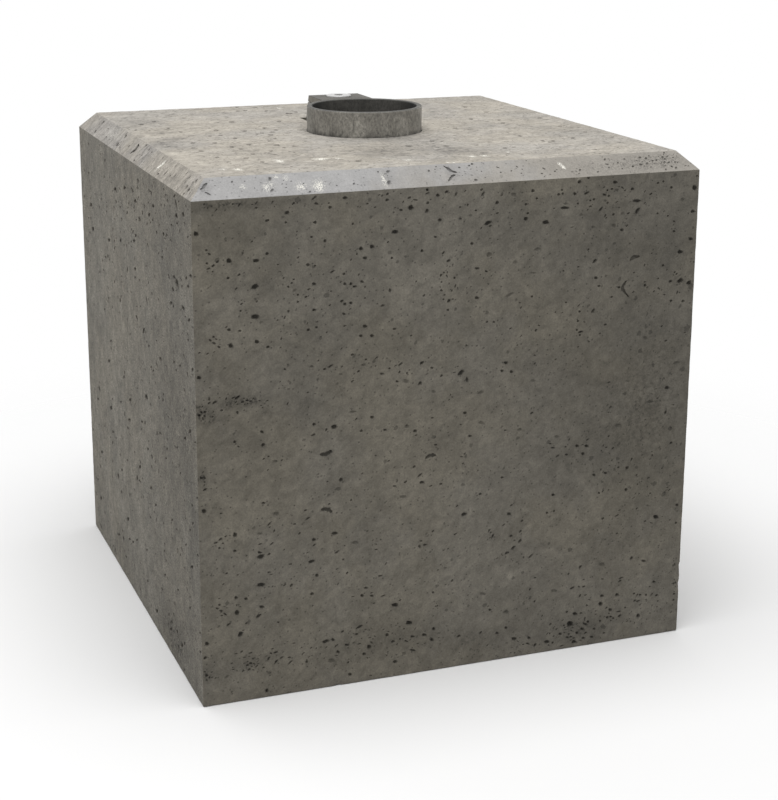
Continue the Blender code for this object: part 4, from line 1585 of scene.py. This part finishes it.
# Its thread: its pitch, how deep its groove is cut and where it flattens, and where it starts and ends.
THREAD_PITCH = 0.00125
THREAD_STEPS = 8
THREAD_CUT = 0.6
THREAD_ROOT = 0.85
THREAD_FADE = 1.5
THREAD_LAST = 0.1
THREAD_FROM = 0.003
THREAD_END = 0.001


class Lathe:
    """A mesh of rings round an upright axis, each joined to the last one by a wall."""

    def __init__(self, axis_y, radii, height):
        self.mesh = bmesh.new()
        self.axis_y = axis_y
        self.last = self.ring(radii, height)

    def ring(self, radii, height):
        """A ring at a height, with a radius for each of its sides or one for all."""
        if isinstance(radii, float):
            radii = [radii] * SCREW_SIDES
        points = []
        for number, radius in enumerate(radii):
            turn = math.tau * number / SCREW_SIDES
            place = (radius * math.cos(turn), self.axis_y + radius * math.sin(turn), height)
            points.append(self.mesh.verts.new(place))
        return points

    def add(self, radii, height, material=0):
        """Adds a ring and the wall up to it."""
        ring = self.ring(radii, height)
        for (start, end), (next_start, next_end) in zip(round_pairs(self.last), round_pairs(ring)):
            wall = self.mesh.faces.new([start, next_start, next_end, end])
            wall.material_index = material
        self.last = ring

    def cap(self, height, material=0):
        """Closes the last ring towards a point on the axis."""
        middle = self.mesh.verts.new((0, self.axis_y, height))
        for start, end in round_pairs(self.last):
            self.mesh.faces.new([start, middle, end]).material_index = material


def hexagon_radii():
    """The radius of the hexagon socket at each of a ring's sides."""
    radii = []
    for number in range(SCREW_SIDES):
        turn = math.tau * number / SCREW_SIDES
        within = (turn + math.pi / 6) % (math.pi / 3) - math.pi / 6
        radii.append(HEXAGON_WIDTH / 2 / math.cos(within))
    return radii


def thread_radii(shank_radius, height, fade):
    """The radius of the thread at each of the sides of the ring at a height."""
    depth = THREAD_PITCH * THREAD_CUT
    radii = []
    for number in range(SCREW_SIDES):
        phase = (height / THREAD_PITCH + number / SCREW_SIDES) % 1.0
        cut = depth * (1 - abs(2 * phase - 1)) * fade
        radii.append(shank_radius - min(cut, depth * THREAD_ROOT))
    return radii


def make_screw(materials):
    """The lock's screw: a countersunk head with a rounded rim and a hexagon socket, and a helical thread."""
    low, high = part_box("lock_screw")
    axis_y = (low.y + high.y) / 2
    head_radius = (high.x - low.x) / 2
    verts = [v.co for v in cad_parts["lock_screw"].data.vertices]
    shank_radius = max(math.hypot(v.x, v.y - axis_y) for v in verts if v.z < (low.z + high.z) / 2)
    head_foot = max(v.z for v in verts if abs(math.hypot(v.x, v.y - axis_y) - shank_radius) < ON_SHANK)

    lathe = Lathe(axis_y, hexagon_radii(), high.z - HEXAGON_DEPTH)
    # The hexagon socket's faces take the second material, a darker steel that paints the shade in the socket.
    lathe.cap(high.z - HEXAGON_DEPTH - HEXAGON_DIMPLE, material=1)
    lathe.add(hexagon_radii(), high.z - HEXAGON_EDGE, material=1)
    lathe.add(HEXAGON_WIDTH / math.cos(math.pi / 6) / 2 + HEXAGON_ROOM, high.z, material=1)
    for step in range(HEAD_ROUND_STEPS + 1):
        turn = math.pi / 2 * step / HEAD_ROUND_STEPS
        lathe.add(head_radius - HEAD_ROUND * (1 - math.sin(turn)), high.z - HEAD_ROUND * (1 - math.cos(turn)))
    lathe.add(head_radius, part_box("lock_lid")[1].z)
    lathe.add(shank_radius, head_foot)

    thread_top = head_foot - THREAD_FROM
    rows = int((thread_top - low.z - THREAD_END) / (THREAD_PITCH / THREAD_STEPS))
    fading = THREAD_STEPS * THREAD_FADE
    for row in range(rows + 1):
        height = thread_top - row * THREAD_PITCH / THREAD_STEPS
        fade = min(1.0, row / fading, (rows - row) / fading + THREAD_LAST)
        lathe.add(thread_radii(shank_radius, height, fade), height)
    lathe.add(shank_radius - TIP_CHAMFER, low.z)
    lathe.cap(low.z)
    bmesh.ops.recalc_face_normals(lathe.mesh, faces=lathe.mesh.faces)
    piece = finish_piece(lathe.mesh, "screw_detail", materials, "screw", "screw_steel", "lock_screw")
    piece.data.shade_smooth()
    piece.data.set_sharp_from_angle(angle=SCREW_SHARP_ANGLE)
    return piece


def make_steel(materials):
    """The steel pieces, each refined from its node, and the screw."""
    for node, radius, body, slot, name in STEEL_PIECES:
        refined(node, materials[node], radius, body, slot, name)
    make_screw([materials["lock_screw"], materials["lock_socket"]])


# The floor, in metres, and how bright it looks and what it throws back.
FLOOR_DROP = 0.0004
FLOOR_RADIUS = 1.6
FLOOR_SOLID = 0.22
FLOOR_CLEAR = 0.62
FLOOR_SIDES = 96
FLOOR_SHOWN = 0.80
FLOOR_BOUNCE = 0.45

# The light from all round, and the two lamps: their place, size and power.
AMBIENT = 0.42
LAMPS = {
    "key": ((-0.2, -0.3, 2.2), 2.0, 50.0),
    "fill": ((-0.9, 1.4, 0.9), 1.2, 2.4),
}


def make_floor():
    """A plain pale floor that keeps the block's shadow and fades into the white behind it.

    It throws back less light than it shows."""
    mesh = bmesh.new()
    bmesh.ops.create_circle(mesh, cap_ends=True, segments=FLOOR_SIDES, radius=FLOOR_RADIUS)
    floor = new_object("studio_floor", new_mesh("studio_floor", mesh))
    floor.location.z = -FLOOR_DROP
    shader = Shader("floor_paint", roughness=1.0, specular_ior_level=0.0)
    seen = shader.tree.nodes.new("ShaderNodeLightPath").outputs["Is Camera Ray"]
    shown = tone(FLOOR_SHOWN, FLOOR_SHOWN, FLOOR_SHOWN)
    bounced = tone(FLOOR_BOUNCE, FLOOR_BOUNCE, FLOOR_BOUNCE)
    opaque = shader.spread(shader.length(shader.place), FLOOR_SOLID, FLOOR_CLEAR, 1.0, 0.0, smooth=True)
    shader.tree.links.new(opaque, shader.surface.inputs["Alpha"])
    floor.data.materials.append(shader.finish(shader.mix_colour(seen, bounced, shown)))


def make_world():
    """An even soft light all round, behind which the background is white."""
    world = bpy.data.worlds.new("studio")
    world.use_nodes = True
    tree = world.node_tree
    background = tree.nodes["Background"]
    path = tree.nodes.new("ShaderNodeLightPath")
    seen = tree.nodes.new("ShaderNodeMath")
    seen.operation = "MAXIMUM"
    tree.links.new(path.outputs["Is Camera Ray"], seen.inputs[0])
    tree.links.new(path.outputs["Is Glossy Ray"], seen.inputs[1])
    level = tree.nodes.new("ShaderNodeMapRange")
    level.inputs["To Min"].default_value = AMBIENT
    level.inputs["To Max"].default_value = 1.0
    tree.links.new(seen.outputs[0], level.inputs["Value"])
    tree.links.new(level.outputs[0], background.inputs["Strength"])
    background.inputs["Color"].default_value = tone(1, 1, 1)
    bpy.context.scene.world = world


def make_lamp(name, place, size, power):
    """A round lamp that looks at the block's middle."""
    data = bpy.data.lights.new(name, "AREA")
    data.shape = "DISK"
    data.size = size
    data.energy = power
    lamp = new_object(name, data)
    lamp.location = place
    lamp.rotation_euler = (Vector((0, 0, TOP / 2)) - Vector(place)).to_track_quat("-Z", "Y").to_euler()


def main():
    make_camera()
    materials = make_materials()
    make_block(materials["concrete"])
    make_steel(materials)
    make_floor()
    make_world()
    for name, (place, size, power) in LAMPS.items():
        make_lamp(name, place, size, power)
    bpy.context.scene.view_settings.view_transform = "Standard"


main()
